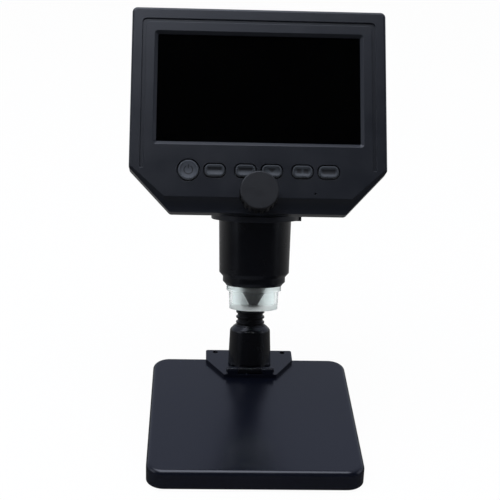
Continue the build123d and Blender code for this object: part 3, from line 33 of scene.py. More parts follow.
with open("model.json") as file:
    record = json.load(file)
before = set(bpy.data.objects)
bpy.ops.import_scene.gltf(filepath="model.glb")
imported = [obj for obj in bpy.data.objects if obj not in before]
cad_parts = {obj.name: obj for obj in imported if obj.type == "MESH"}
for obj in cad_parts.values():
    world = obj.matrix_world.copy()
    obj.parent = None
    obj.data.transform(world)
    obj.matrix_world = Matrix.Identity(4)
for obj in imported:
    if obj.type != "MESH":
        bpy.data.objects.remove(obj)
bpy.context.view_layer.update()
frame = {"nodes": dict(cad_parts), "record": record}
nodes = frame["nodes"]

# ---------------------------------------------------------------------------------------------
# Places and sizes on the object
# ---------------------------------------------------------------------------------------------

COLUMN_LEAN = math.radians(18)
SCREEN_LEAN = math.radians(34)  # of the screen's face from upright
SCREEN_CENTRE = Vector((0, 45.594, 159.711)) * MM
BARREL_FOOT = Vector((0, 15.966, 24.289)) * MM
SHADE_BOTTOM = 30.4  # the light shade's ends, along the barrel from its foot
SHADE_TOP = 42.0
SHADE_FADE = (-4.0, 3.0)  # depths from the shade's axis between which clear turns to frosted
SHADE_FROST = 0.95  # roughness behind them
SHADE_ENDS = ((0.06, 0.8), (0.3, 0.13), (0.76, 0.13), (0.84, 0.42))  # roughness, bottom 0 to top 1

KEY_ROW = -41.0  # up the screen's face, from the window's centre line
KEY_FACE = 1.0  # how far a key stands out of the face
KEY_DISH = 0.55  # depth of the hollow in a key's top
KEY_REACH = 2.05  # half the height of that hollow on a long key
POWER_REACH = 3.9  # and on the round key
KEY_SPOTS = {  # each key's middle, across from the window's
    "power_key": -32.75,
    "key_1": -20.5,
    "key_2": -6.15,
    "key_3": 6.15,
    "key_4": 20.5,
    "key_5": 32.75,
}

PRINT_THICKNESS = 0.03
PRINT_ROOT = 0.02  # how far the print goes into the key
BAR_HALF = 3.1  # half the length of a printed bar
THIN_BAR = (0.1, 1.4)  # lower and upper edge of each mark, from the key's middle
THICK_BAR = (-1.0, 1.3)
BLOCK = (-0.8, 1.3)
BLOCK_HALF = 1.1
BLOCK_OFFSET = 1.6  # of each block from the key's middle
TRIANGLE = (-0.6, 1.3)
TRIANGLE_TIP_HALF = 0.1
TRIANGLE_TOP_HALF = 1.9
POWER_RING = (1.75, 2.25)  # inner and outer radius
POWER_RING_GAP = 32  # degrees from the ring's top to each of its ends
POWER_STEM = (0.7, 2.6)
POWER_STEM_HALF = 0.25

SCREW_THREAD = 1.0  # radius of every screw's shaft
SCREW_TIP = 0.4  # length of its taper
SCREW_SPIN = 37  # degrees from one screw's recess to the next
BASE_SCREW_SPOT = (40.6, 20, 0.8)  # the head of one base screw. The others mirror it
BRACKET_SCREW_SPOT = (17.6, 56.0, 11.1)  # and of one in the foot plate
CASE_SCREW_SPOTS = ((55.8, 33.8), (55.8, -2.0), (38.7, -53.8))  # across and up the screen's frame
CASE_SCREW_DEPTH = 10.7  # of their heads, behind the screen's face

LAMP_COUNT = 8
LAMP_CIRCLE = 9.4  # radius of the circle that the lamps stand on
LAMP_HALF = 1.1  # half a lamp's width
LAMP_TOP = 43.5  # along the barrel from its foot
LAMP_HEIGHT = 0.7
LAMP_BODY_SHARE = 0.8  # of a lamp's height that its body takes
LAMP_WINDOW_START = 0.7  # share of the height at which the window begins, inside the body
LAMP_WINDOW_WIDTH = 0.75  # share of the width that the window takes

PORT_MOUTH = 60.2  # across from the screen's middle
PORT_ROW = 10.0  # up from it
PORT_DEPTH = 5.7  # behind the screen's face
TONGUE_INSET = 1.2  # of its end behind the mouth
TONGUE_LENGTH = 5.0
TONGUE_HALF = 1.8  # half its width
TONGUE_HALF_THICKNESS = 0.3
CONTACT_INSET = 1.6
CONTACT_LENGTH = 4.2
CONTACT_PITCH = 0.65
CONTACT_HALF = 0.16
CONTACT_FACES = (0.24, 0.34)  # a contact's buried and bare face, above the tongue's middle plane


def leaning_frame(origin, right, up, out):
    """The matrix that puts local x, y and z along right, up and out, at origin."""
    turn = Matrix((right, up, out)).transposed().to_4x4()
    return Matrix.Translation(origin) @ turn


X_AXIS = Vector((1, 0, 0))
Y_AXIS = Vector((0, 1, 0))
Z_AXIS = Vector((0, 0, 1))
SCREEN_UP = Vector((0, math.sin(SCREEN_LEAN), math.cos(SCREEN_LEAN)))
SCREEN_OUT = Vector((0, -math.cos(SCREEN_LEAN), math.sin(SCREEN_LEAN)))
COLUMN_UP = Vector((0, math.sin(COLUMN_LEAN), math.cos(COLUMN_LEAN)))
COLUMN_BACK = Vector((0, math.cos(COLUMN_LEAN), -math.sin(COLUMN_LEAN)))
on_screen = leaning_frame(SCREEN_CENTRE, X_AXIS, SCREEN_UP, SCREEN_OUT)
on_barrel = leaning_frame(BARREL_FOOT, X_AXIS, COLUMN_BACK, COLUMN_UP)

# ---------------------------------------------------------------------------------------------
# Materials
# ---------------------------------------------------------------------------------------------


def srgb(code):
    """An sRGB hex colour as linear red, green, blue and alpha."""
    parts = [int(code[i : i + 2], 16) / 255 for i in (1, 3, 5)]
    return tuple(p / 12.92 if p <= 0.04045 else ((p + 0.055) / 1.055) ** 2.4 for p in parts) + (1.0,)


def node(tree, kind, settings=None, inputs=None):
    """Adds a shader node. Each input is a plain value or another node's output."""
    made = tree.nodes.new(kind)
    for name, value in (settings or {}).items():
        setattr(made, name, value)
    for name, value in (inputs or {}).items():
        if isinstance(value, bpy.types.NodeSocket):
            tree.links.new(value, made.inputs[name])
        else:
            made.inputs[name].default_value = value
    return made


# A Mix node has a pair of inputs and an output for each kind of value. These are their numbers.
COLOUR_A = 6
COLOUR_B = 7
COLOUR_RESULT = 2
NUMBER_A = 2
NUMBER_B = 3
NUMBER_RESULT = 0

NOISE_LOW = 0.3  # nearly all of a noise texture lies between these
NOISE_HIGH = 0.7


def set_stops(ramp, stops):
    """Gives a new colour ramp its stops: pairs of position and colour, in rising order."""
    for element, (position, colour) in zip(ramp.elements, stops):
        element.position = position
        element.color = colour
    for position, colour in stops[2:]:
        ramp.elements.new(position).color = colour


def new_material(name, sockets):
    """A material with one Principled shader, its uniform sockets set directly."""
    material = bpy.data.materials.new(name)
    material.use_nodes = True
    shader = material.node_tree.nodes["Principled BSDF"]
    for socket, value in sockets.items():
        shader.inputs[socket].default_value = value
    return material, material.node_tree, shader


def per_mm(size):
    """The texture scale whose cells are size millimetres wide."""
    return 1 / (size * MM)


def mottled_colour(tree, shader, dark, light, size):
    """Drifts the colour between two close tones over patches size millimetres wide.

    Returns the texture coordinates, for what is added next."""
    place = node(tree, "ShaderNodeTexCoord")
    patches = node(
        tree,
        "ShaderNodeTexNoise",
        inputs={"Vector": place.outputs["Object"], "Scale": per_mm(size), "Detail": 3.0},
    )
    mix = node(
        tree,
        "ShaderNodeMix",
        {"data_type": "RGBA"},
        {"Factor": patches.outputs["Fac"], COLOUR_A: srgb(dark), COLOUR_B: srgb(light)},
    )
    tree.links.new(mix.outputs[COLOUR_RESULT], shader.inputs["Base Color"])
    return place


def handled_roughness(tree, shader, place, low, high, size):
    """Drifts the roughness between low and high over patches, as fingers and dust leave it."""
    patches = node(
        tree,
        "ShaderNodeTexNoise",
        inputs={"Vector": place.outputs["Object"], "Scale": per_mm(size), "Detail": 4.0},
    )
    spread = node(
        tree,
        "ShaderNodeMapRange",
        inputs={
            "Value": patches.outputs["Fac"],
            "From Min": NOISE_LOW,
            "From Max": NOISE_HIGH,
            "To Min": low,
            "To Max": high,
        },
    )
    tree.links.new(spread.outputs["Result"], shader.inputs["Roughness"])


def grain_bump(tree, shader, place, size, depth, edge=0.0):
    """An even grain of the given size and depth in millimetres, with edges softened by edge.

    The grain of moulded plastic and tooled metal is really 0.1 mm wide or finer. It is drawn coarser,
    so that it shows."""
    grain = node(
        tree,
        "ShaderNodeTexNoise",
        inputs={"Vector": place.outputs["Object"], "Scale": per_mm(size), "Detail": 2.0},
    )
    bump = node(
        tree,
        "ShaderNodeBump",
        inputs={"Height": grain.outputs["Fac"], "Distance": depth * MM, "Strength": 1.0},
    )
    if edge:
        soft = node(tree, "ShaderNodeBevel", {"samples": 6}, {"Radius": edge * MM})
        tree.links.new(soft.outputs["Normal"], bump.inputs["Normal"])
    tree.links.new(bump.outputs["Normal"], shader.inputs["Normal"])


def satin_abs():
    """Moulded ABS from a spark-eroded tool: a blue-black skin whose fine grain breaks up highlights."""
    material, tree, shader = new_material("satin_moulded_abs", {"IOR": 1.54})
    place = mottled_colour(tree, shader, "#101319", "#13161d", size=18)
    handled_roughness(tree, shader, place, low=0.3, high=0.37, size=12)
    grain_bump(tree, shader, place, size=0.45, depth=0.012, edge=0.35)
    return material


def polished_abs():
    """ABS from a polished tool: near black, with clean bright streaks along round pieces."""
    material, tree, shader = new_material("polished_black_abs", {"IOR": 1.54})
    place = mottled_colour(tree, shader, "#05060a", "#08090e", size=25)
    handled_roughness(tree, shader, place, low=0.2, high=0.28, size=9)
    grain_bump(tree, shader, place, size=1.6, depth=0.004, edge=0.25)
    return material


def ribbed_nylon():
    """Black nylon of the ribbed column and its collar: duller than the barrel, with a faint waxy drift."""
    material, tree, shader = new_material("black_nylon", {"IOR": 1.53})
    place = mottled_colour(tree, shader, "#050508", "#09090d", size=12)
    handled_roughness(tree, shader, place, low=0.26, high=0.38, size=6)
    grain_bump(tree, shader, place, size=0.8, depth=0.008, edge=0.15)
    return material


def painted_base():
    """Slate-coloured semi-gloss paint over the base: smooth, with a soft mirror of what stands on it."""
    material, tree, shader = new_material("semi_gloss_slate_paint", {"IOR": 1.54})
    place = mottled_colour(tree, shader, "#0a0d18", "#0d101b", size=30)
    handled_roughness(tree, shader, place, low=0.22, high=0.26, size=14)
    grain_bump(tree, shader, place, size=2.2, depth=0.002, edge=0.4)
    return material


def matt_abs():
    """Matt black ABS with a coarser grain, as on grips and undersides."""
    material, tree, shader = new_material("matt_black_abs", {"IOR": 1.54})
    place = mottled_colour(tree, shader, "#0e0f11", "#141517", size=8)
    handled_roughness(tree, shader, place, low=0.5, high=0.62, size=7)
    grain_bump(tree, shader, place, size=0.5, depth=0.02, edge=0.2)
    return material


def knob_abs():
    """Satin ABS of the focus knob: a neutral grey-black, duller than the case."""
    material, tree, shader = new_material("satin_knob_abs", {"IOR": 1.54})
    place = mottled_colour(tree, shader, "#0f1012", "#131416", size=5)
    handled_roughness(tree, shader, place, low=0.42, high=0.52, size=4)
    grain_bump(tree, shader, place, size=0.45, depth=0.015, edge=0.3)
    return material


def key_silicone(name, dark, light):
    """Moulded silicone rubber of the keys: grey, with a soft sheen and rounded lips."""
    material, tree, shader = new_material(name, {"IOR": 1.42, "Sheen Weight": 0.1})
    place = mottled_colour(tree, shader, dark, light, size=4)
    handled_roughness(tree, shader, place, low=0.42, high=0.52, size=5)
    grain_bump(tree, shader, place, size=0.3, depth=0.01, edge=0.3)
    return material


def foot_rubber():
    """Black rubber of the feet: dull, with a dusty bloom."""
    material, tree, shader = new_material("black_rubber", {"IOR": 1.52, "Sheen Weight": 0.15})
    place = mottled_colour(tree, shader, "#141414", "#1f1f20", size=3)
    handled_roughness(tree, shader, place, low=0.7, high=0.85, size=3)
    grain_bump(tree, shader, place, size=0.4, depth=0.03)
    return material


def smoked_acrylic():
    """Smoked acrylic window: a dark clear sheet with a polished face. Its low IOR keeps its mirror faint."""
    material, tree, shader = new_material(
        "smoked_acrylic",
        {"Base Color": srgb("#3a3b40"), "IOR": 1.2, "Transmission Weight": 1.0},
    )
    place = node(tree, "ShaderNodeTexCoord")
    handled_roughness(tree, shader, place, low=0.03, high=0.08, size=25)
    return material


def dark_panel():
    """The unlit screen: black glass with faint upright lines 0.19 mm apart, like columns of pixels.

    The wave texture repeats every 0.314 of its cell. The low IOR keeps the screen black."""
    material, tree, shader = new_material("unlit_screen_glass", {"IOR": 1.2, "Roughness": 0.3})
    place = node(tree, "ShaderNodeTexCoord")
    lines = node(
        tree,
        "ShaderNodeTexWave",
        {"wave_type": "BANDS", "bands_direction": "X"},
        {"Vector": place.outputs["Object"], "Scale": per_mm(0.6), "Distortion": 0.0},
    )
    mix = node(
        tree,
        "ShaderNodeMix",
        {"data_type": "RGBA"},
        {"Factor": lines.outputs["Fac"], COLOUR_A: srgb("#020203"), COLOUR_B: srgb("#040405")},
    )
    tree.links.new(mix.outputs[COLOUR_RESULT], shader.inputs["Base Color"])
    return material


def milky_polycarbonate():
    """Polycarbonate shade: clear in front of the dark nose, frosted behind it and at both ends.

    Its low IOR keeps the thin walls from bending the nose's outline."""
    material, tree, shader = new_material("milky_polycarbonate", {"IOR": 1.28, "Transmission Weight": 1.0})
    place = mottled_colour(tree, shader, "#f3fafa", "#f9fdfd", size=6)
    depth = node(tree, "ShaderNodeSeparateXYZ", inputs={"Vector": place.outputs["Object"]})
    middle = (BARREL_FOOT + COLUMN_UP * (SHADE_BOTTOM + SHADE_TOP) / 2 * MM).y
    fade_start, fade_end = SHADE_FADE
    behind = node(
        tree,
        "ShaderNodeMapRange",
        {"interpolation_type": "SMOOTHSTEP"},
        {
            "Value": depth.outputs["Y"],
            "From Min": middle + fade_start * MM,
            "From Max": middle + fade_end * MM,
            "To Min": 0.0,
            "To Max": SHADE_FROST,
        },
    )
    along = node(
        tree,
        "ShaderNodeVectorMath",
        {"operation": "DOT_PRODUCT"},
        {0: place.outputs["Object"], 1: tuple(COLUMN_UP)},
    )
    share = node(
        tree,
        "ShaderNodeMapRange",
        inputs={
            "Value": along.outputs["Value"],
            "From Min": BARREL_FOOT.dot(COLUMN_UP) + SHADE_BOTTOM * MM,
            "From Max": BARREL_FOOT.dot(COLUMN_UP) + SHADE_TOP * MM,
        },
    )
    frost = node(tree, "ShaderNodeValToRGB", inputs={"Fac": share.outputs["Result"]})
    set_stops(frost.color_ramp, [(position, (level, level, level, 1)) for position, level in SHADE_ENDS])
    most = node(
        tree,
        "ShaderNodeMath",
        {"operation": "MAXIMUM"},
        {0: behind.outputs["Result"], 1: frost.outputs["Color"]},
    )
    tree.links.new(most.outputs[0], shader.inputs["Roughness"])
    grain_bump(tree, shader, place, size=0.6, depth=0.01, edge=0.25)
    return material


def turned_steel():
    """Turned steel of the focus shaft and its clip: bright grey, with a fine uneven tooling grain."""
    material, tree, shader = new_material("turned_steel", {"Metallic": 1.0})
    place = mottled_colour(tree, shader, "#a8a9ab", "#b6b7b9", size=1.5)
    handled_roughness(tree, shader, place, low=0.25, high=0.38, size=0.8)
    grain_bump(tree, shader, place, size=0.25, depth=0.004)
    return material


def blackened_steel():
    """Black-oxide steel of the screws and the hinge pin: dark metal with a slightly cloudy sheen."""
    material, tree, shader = new_material("black_oxide_steel", {"Metallic": 1.0})
    place = mottled_colour(tree, shader, "#3a3b3d", "#4a4b4e", size=0.8)
    handled_roughness(tree, shader, place, low=0.3, high=0.45, size=0.6)
    grain_bump(tree, shader, place, size=0.2, depth=0.004)
    return material


def plated_steel():
    """Tin-plated steel of the port and the card slot: bright and slightly cloudy."""
    material, tree, shader = new_material("tin_plated_steel", {"Metallic": 1.0})
    place = mottled_colour(tree, shader, "#c2c3c4", "#d0d1d2", size=2)
    handled_roughness(tree, shader, place, low=0.22, high=0.34, size=1.2)
    return material


def ground_steel():
    """Ground mild steel of the base weight: dull grey, blotched by handling."""
    material, tree, shader = new_material("ground_mild_steel", {"Metallic": 1.0})
    place = mottled_colour(tree, shader, "#77787a", "#88898b", size=10)
    handled_roughness(tree, shader, place, low=0.4, high=0.55, size=5)
    grain_bump(tree, shader, place, size=0.6, depth=0.01)
    return material


def machined_brass():
    """Machined brass of the stud, bush, pinion and contacts: warm yellow, with a fine tooling grain."""
    material, tree, shader = new_material("machined_brass", {"Metallic": 1.0})
    place = mottled_colour(tree, shader, "#c9a253", "#d6b163", size=1.2)
    handled_roughness(tree, shader, place, low=0.25, high=0.35, size=0.9)
    grain_bump(tree, shader, place, size=0.2, depth=0.003)
    return material


def white_acetal():
    """Natural acetal of the lens carriage: waxy white, with light going a little way in."""
    material, tree, shader = new_material("natural_acetal", {"IOR": 1.48, "Subsurface Weight": 0.15})
    place = mottled_colour(tree, shader, "#e4e3dd", "#ecebe6", size=6)
    handled_roughness(tree, shader, place, low=0.35, high=0.45, size=4)
    return material


def solder_mask():
    """Green solder mask over fibreglass, with copper tracks that show as paler lines."""
    material, tree, shader = new_material("green_solder_mask", {"IOR": 1.5})
    place = node(tree, "ShaderNodeTexCoord")
    tracks = node(
        tree,
        "ShaderNodeTexBrick",
        {"offset": 0.35},
        {
            "Vector": place.outputs["Object"],
            "Scale": per_mm(6),
            "Color1": srgb("#0f4a2a"),
            "Color2": srgb("#135433"),
            "Mortar": srgb("#2b7a4c"),
            "Mortar Size": 0.04,
        },
    )
    tree.links.new(tracks.outputs["Color"], shader.inputs["Base Color"])
    handled_roughness(tree, shader, place, low=0.28, high=0.4, size=4)
    return material


def epoxy_chip():
    """Moulded epoxy of chips, switches and the port's tongue: dull black, finely speckled by filler."""
    material, tree, shader = new_material("moulded_epoxy", {"IOR": 1.55})
    place = mottled_colour(tree, shader, "#101112", "#1a1b1d", size=0.4)
    handled_roughness(tree, shader, place, low=0.45, high=0.6, size=0.5)
    return material


def lamp_phosphor():
    """Yellow phosphor under clear silicone in each white lamp."""
    material, tree, shader = new_material("lamp_phosphor", {"IOR": 1.41, "Coat Weight": 0.6})
    place = mottled_colour(tree, shader, "#e6cf52", "#f2dd6e", size=0.4)
    handled_roughness(tree, shader, place, low=0.3, high=0.4, size=0.4)
    return material


def lamp_ceramic():
    """White ceramic body of each lamp."""
    material, tree, shader = new_material("white_lamp_ceramic", {"IOR": 1.6})
    place = mottled_colour(tree, shader, "#e9e8e2", "#f3f2ee", size=0.5)
    handled_roughness(tree, shader, place, low=0.35, high=0.5, size=0.5)
    return material


def coated_glass():
    """Lens glass with an anti-reflection film, which tints its mirror image faintly."""
    material, tree, shader = new_material(
        "coated_lens_glass",
        {"IOR": 1.52, "Transmission Weight": 1.0, "Roughness": 0.02, "Thin Film Thickness": 110.0},
    )
    mottled_colour(tree, shader, "#eef4f4", "#f6fafa", size=5)
    return material


def battery_film():
    """Silver laminate film round the battery: bright, soft and slightly crinkled."""
    material, tree, shader = new_material("silver_laminate_film", {"Metallic": 0.85})
    place = mottled_colour(tree, shader, "#b9bbbf", "#c8cacd", size=7)
    handled_roughness(tree, shader, place, low=0.25, high=0.45, size=3)
    grain_bump(tree, shader, place, size=3.0, depth=0.06)
    return material


def dark_print():
    """Pad-printed black ink on the keys: flat and slightly uneven."""
    material, tree, shader = new_material("pad_printed_ink", {"IOR": 1.5})
    place = mottled_colour(tree, shader, "#08090b", "#0d0e11", size=0.6)
    handled_roughness(tree, shader, place, low=0.5, high=0.6, size=1)
    return material


FINISHES = {
    "base_paint": painted_base(),
    "black_gloss": polished_abs(),
    "case_plastic": satin_abs(),
    "black_matte": matt_abs(),
    "key_rubber": key_silicone("grey_silicone_rubber", "#2a2e32", "#303439"),
    "rubber": foot_rubber(),
    "steel": turned_steel(),
    "screw_steel": blackened_steel(),
    "brass": machined_brass(),
    "acetal": white_acetal(),
    "shade_plastic": milky_polycarbonate(),
    "board": solder_mask(),
    "chip": epoxy_chip(),
    "led": lamp_phosphor(),
    "optical_glass": coated_glass(),
    "window_glass": smoked_acrylic(),
    "panel": dark_panel(),
    "battery_foil": battery_film(),
    "port_steel": plated_steel(),
}
nylon = ribbed_nylon()
NODE_FINISHES = {
    "column": nylon,
    "column_bush": nylon,
    "base_weight": ground_steel(),
    "focus_knob": knob_abs(),
    "hinge_pin": FINISHES["screw_steel"],
    "power_button": key_silicone("pale_silicone_rubber", "#363a3f", "#3c4046"),
}

slot_of_node = {part["node"]: part["material_slot"] for part in frame["record"]["subparts"]}
for name, piece in nodes.items():
    finish = NODE_FINISHES.get(name) or FINISHES[slot_of_node[name]]
    piece.data.materials.clear()
    piece.data.materials.append(finish)

# ---------------------------------------------------------------------------------------------
# Printed marks, screws, lamps and the port's contacts
# ---------------------------------------------------------------------------------------------


def add_piece(name, mesh, finish, body, place):
    """A new piece that rides on a body, with the finish it is given."""
    mesh.transform(Matrix.Scale(MM, 4))
    mesh.materials.append(finish)
    piece = bpy.data.objects.new(name, mesh)
    piece.matrix_world = place
    bpy.context.scene.collection.objects.link(piece)
    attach(piece, body)
    return piece


def finished_mesh(name, shape, smooth_angle=35):
    """Turns a bmesh into a mesh, its faces outward, smooth except at edges sharper than the angle."""
    bmesh.ops.recalc_face_normals(shape, faces=shape.faces)
    mesh = bpy.data.meshes.new(name)
    shape.to_mesh(mesh)
    shape.free()
    mesh.shade_smooth()
    mesh.set_sharp_from_angle(angle=math.radians(smooth_angle))
    return mesh


def add_box(shape, low, high):
    """Adds a box between two corners to a bmesh."""
    size = [b - a for a, b in zip(low, high)]
    middle = [(a + b) / 2 for a, b in zip(low, high)]
    bmesh.ops.create_cube(shape, size=1, matrix=Matrix.Translation(middle) @ Matrix.Diagonal((*size, 1)))


def dish_height(v, reach):
    """Height of a key's dished top above the screen's face, v millimetres from the key's middle."""
    radius = (reach**2 + KEY_DISH**2) / (2 * KEY_DISH)
    return KEY_FACE - KEY_DISH + radius - math.sqrt(radius**2 - v**2)


def add_ribbon(shape, edges, reach):
    """Adds a printed stroke that follows the dish: pairs of points along its two sides."""
    rows = [
        [
            shape.verts.new((u, KEY_ROW + v, dish_height(v, reach) + lift))
            for lift in (PRINT_THICKNESS, -PRINT_ROOT)
            for u, v in pair
        ]
        for pair in edges
    ]
    for first, second in zip(rows, rows[1:]):
        for a, b in ((0, 1), (1, 3), (3, 2), (2, 0)):
            shape.faces.new((first[a], first[b], second[b], second[a]))
    for a, b, d, c in (rows[0], rows[-1]):
        shape.faces.new((a, b, c, d))


def upright_stroke(u, low, high, low_half, high_half, steps=6):
    """Side points of a stroke up the key, from one half width to another."""
    pairs = []
    for step in range(steps + 1):
        share = step / steps
        v = low + (high - low) * share
        half = low_half + (high_half - low_half) * share
        pairs.append(((u - half, v), (u + half, v)))
    return pairs


def arc_stroke(u, inner, outer, start, end, steps=36):
    """Side points of a stroke round a circle, between two angles from the top."""
    pairs = []
    for step in range(steps + 1):
        angle = math.radians(start + (end - start) * step / steps)
        pairs.append(tuple((u + r * math.sin(angle), r * math.cos(angle)) for r in (inner, outer)))
    return pairs


def bar(key, span, half, offset=0.0):
    """Side points of a printed bar, offset from its key's middle."""
    return upright_stroke(KEY_SPOTS[key] + offset, *span, half, half)


def print_key(body, strokes, reach):
    """The ink on one key's cap, made of strokes."""
    shape = bmesh.new()
    for stroke in strokes:
        add_ribbon(shape, stroke, reach)
    mesh = finished_mesh(f"{body}_print", shape)
    add_piece(f"{body}_print", mesh, ink, body, on_screen)


def turned(shape, profile, segments=32):
    """Adds a closed turned solid to a bmesh. Its pairs of radius and height start and end on the axis."""
    angles = [2 * math.pi * k / segments for k in range(segments)]
    rings = []
    for radius, height in profile:
        around = angles if radius else [0.0]
        spots = [(radius * math.cos(angle), radius * math.sin(angle), height) for angle in around]
        rings.append([shape.verts.new(spot) for spot in spots])
    for upper, lower in zip(rings, rings[1:]):
        for k in range(segments):
            after = (k + 1) % segments
            if len(upper) == 1:
                shape.faces.new((upper[0], lower[k], lower[after]))
            elif len(lower) == 1:
                shape.faces.new((upper[k], upper[after], lower[0]))
            else:
                shape.faces.new((upper[k], upper[after], lower[after], lower[k]))


def cross_head_screw(name, head_radius, head_height, shaft_length):
    """A pan-head screw with a cross recess. Its head's top is at the origin and looks along local z."""
    shape = bmesh.new()
    crown = head_height * 0.35  # the domed share of the head's height
    end = -head_height - shaft_length
    domed_head = [
        (0, 0),
        (head_radius * 0.75, -crown * 0.15),
        (head_radius * 0.95, -crown * 0.6),
        (head_radius, -crown),
        (head_radius, -head_height),
    ]
    shaft = [
        (SCREW_THREAD, -head_height),
        (SCREW_THREAD, end + SCREW_TIP),
        (SCREW_THREAD * 0.6, end),
        (0, end),
    ]
    turned(shape, domed_head + shaft)
    blank = bpy.data.objects.new(name, finished_mesh(name, shape))
    recess = bmesh.new()
    arm = head_radius * 0.62
    half = head_radius * 0.13
    depth = head_height * 0.7
    clear = 1  # how far the cutter stands out of the head
    for reach_x, reach_y in ((arm, half), (half, arm)):
        add_box(recess, (-reach_x, -reach_y, -depth), (reach_x, reach_y, clear))
    cutter = bpy.data.objects.new(name, finished_mesh(name, recess))
    for item in (blank, cutter):
        bpy.context.scene.collection.objects.link(item)
    cut = blank.modifiers.new("recess", "BOOLEAN")
    cut.operation = "DIFFERENCE"
    cut.solver = "EXACT"
    cut.object = cutter
    cut.use_self = True
    bpy.context.view_layer.update()
    mesh = bpy.data.meshes.new_from_object(blank.evaluated_get(bpy.context.evaluated_depsgraph_get()))
    mesh.materials.clear()
    for item in (blank, cutter):
        bpy.data.objects.remove(item)
    return mesh


def set_screws(node_name, body, mesh, places):
    """Puts one screw at each place, each recess turned differently. Together they replace a node."""
    blackened = FINISHES["screw_steel"]
    for number, place in enumerate(places, start=1):
        spin = Matrix.Rotation(math.radians(SCREW_SPIN * number), 4, "Z")
        name = f"{node_name}_{number}"
        screw = add_piece(name, mesh.copy(), blackened, body, place @ spin)
        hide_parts(node_name)


def solid_piece(name, finish, place, add_solids):
    """A piece of the head whose solids one function adds to an empty bmesh."""
    shape = bmesh.new()
    add_solids(shape)
    return add_piece(name, finished_mesh(name, shape), finish, "head", place)


def lamp_turns():
    """The turn of each lamp round the barrel's axis."""
    return [Matrix.Rotation(2 * math.pi * k / LAMP_COUNT, 4, "Z") for k in range(LAMP_COUNT)]


def lamp_bodies(shape):
    """A square white body for each lamp."""
    low = (LAMP_CIRCLE - LAMP_HALF, -LAMP_HALF, LAMP_TOP - LAMP_HEIGHT * LAMP_BODY_SHARE)
    high = (LAMP_CIRCLE + LAMP_HALF, LAMP_HALF, LAMP_TOP)
    for turn in lamp_turns():
        fresh = bmesh.new()
        add_box(fresh, low, high)
        add_turned_copy(shape, fresh, turn)


def lamp_windows(shape):
    """The round yellow window under each lamp's body, sunk a little into it."""
    low = LAMP_TOP - LAMP_HEIGHT
    high = LAMP_TOP - LAMP_HEIGHT * LAMP_WINDOW_START
    radius = LAMP_HALF * LAMP_WINDOW_WIDTH
    for turn in lamp_turns():
        fresh = bmesh.new()
        turned(fresh, [(0, high), (radius, high), (radius, low), (0, low)], segments=24)
        add_turned_copy(shape, fresh, turn @ Matrix.Translation((LAMP_CIRCLE, 0, 0)))


def add_turned_copy(shape, fresh, place):
    """Adds a small bmesh to a larger one at a place, and frees the small one."""
    mesh = bpy.data.meshes.new("part")
    fresh.transform(place)
    fresh.to_mesh(mesh)
    fresh.free()
    shape.from_mesh(mesh)
    bpy.data.meshes.remove(mesh)


def port_tongue(shape):
    """The plastic tongue in the port."""
    outer = PORT_MOUTH - TONGUE_INSET
    low = (outer - TONGUE_LENGTH, PORT_ROW - TONGUE_HALF, -PORT_DEPTH - TONGUE_HALF_THICKNESS)
    high = (outer, PORT_ROW + TONGUE_HALF, -PORT_DEPTH + TONGUE_HALF_THICKNESS)
    add_box(shape, low, high)


def port_contacts(shape):
    """Five flat contacts along the tongue."""
    outer = PORT_MOUTH - CONTACT_INSET
    buried, bare = CONTACT_FACES
    for place in range(-2, 3):
        v = PORT_ROW + place * CONTACT_PITCH
        low = (outer - CONTACT_LENGTH, v - CONTACT_HALF, -PORT_DEPTH + buried)
        add_box(shape, low, (outer, v + CONTACT_HALF, -PORT_DEPTH + bare))


ink = dark_print()
triangle = upright_stroke(KEY_SPOTS["key_3"], *TRIANGLE, TRIANGLE_TIP_HALF, TRIANGLE_TOP_HALF)
power_ring = arc_stroke(KEY_SPOTS["power_key"], *POWER_RING, POWER_RING_GAP, 360 - POWER_RING_GAP)
power_stem = bar("power_key", POWER_STEM, POWER_STEM_HALF)
print_key("key_1", [bar("key_1", THIN_BAR, BAR_HALF)], KEY_REACH)
print_key("key_2", [bar("key_2", THIN_BAR, BAR_HALF)], KEY_REACH)
print_key("key_3", [triangle], KEY_REACH)
print_key("key_4", [bar("key_4", BLOCK, BLOCK_HALF, side * BLOCK_OFFSET) for side in (-1, 1)], KEY_REACH)
print_key("key_5", [bar("key_5", THICK_BAR, BAR_HALF)], KEY_REACH)
print_key("power_key", [power_ring, power_stem], POWER_REACH)

base_x, base_y, base_z = BASE_SCREW_SPOT
set_screws(
    "base_screws",
    "stand",
    cross_head_screw("base_screw", head_radius=2.0, head_height=1.1, shaft_length=5.2),
    [
        leaning_frame(Vector((side * base_x, end * base_y, base_z)) * MM, X_AXIS, -Y_AXIS, -Z_AXIS)
        for side in (-1, 1)
        for end in (-1, 1)
    ],
)
bracket_x, bracket_y, bracket_z = BRACKET_SCREW_SPOT
set_screws(
    "bracket_screws",
    "stand",
    cross_head_screw("bracket_screw", head_radius=1.3, head_height=0.6, shaft_length=4.0),
    [
        leaning_frame(Vector((side * bracket_x, bracket_y, bracket_z)) * MM, X_AXIS, Y_AXIS, Z_AXIS)
        for side in (-1, 1)
    ],
)
set_screws(
    "case_screws",
    "head",
    cross_head_screw("case_screw", head_radius=2.0, head_height=0.8, shaft_length=6.4),
    [
        on_screen @ leaning_frame(Vector((side * u, v, -CASE_SCREW_DEPTH)) * MM, X_AXIS, -Y_AXIS, -Z_AXIS)
        for u, v in CASE_SCREW_SPOTS
        for side in (-1, 1)
    ],
)

bodies = solid_piece("lamp_bodies", lamp_ceramic(), on_barrel, lamp_bodies)
windows = solid_piece("lamp_windows", FINISHES["led"], on_barrel, lamp_windows)
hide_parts("lamps")
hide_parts("lamps")
solid_piece("port_tongue", FINISHES["chip"], on_screen, port_tongue)
solid_piece("port_contacts", FINISHES["brass"], on_screen, port_contacts)

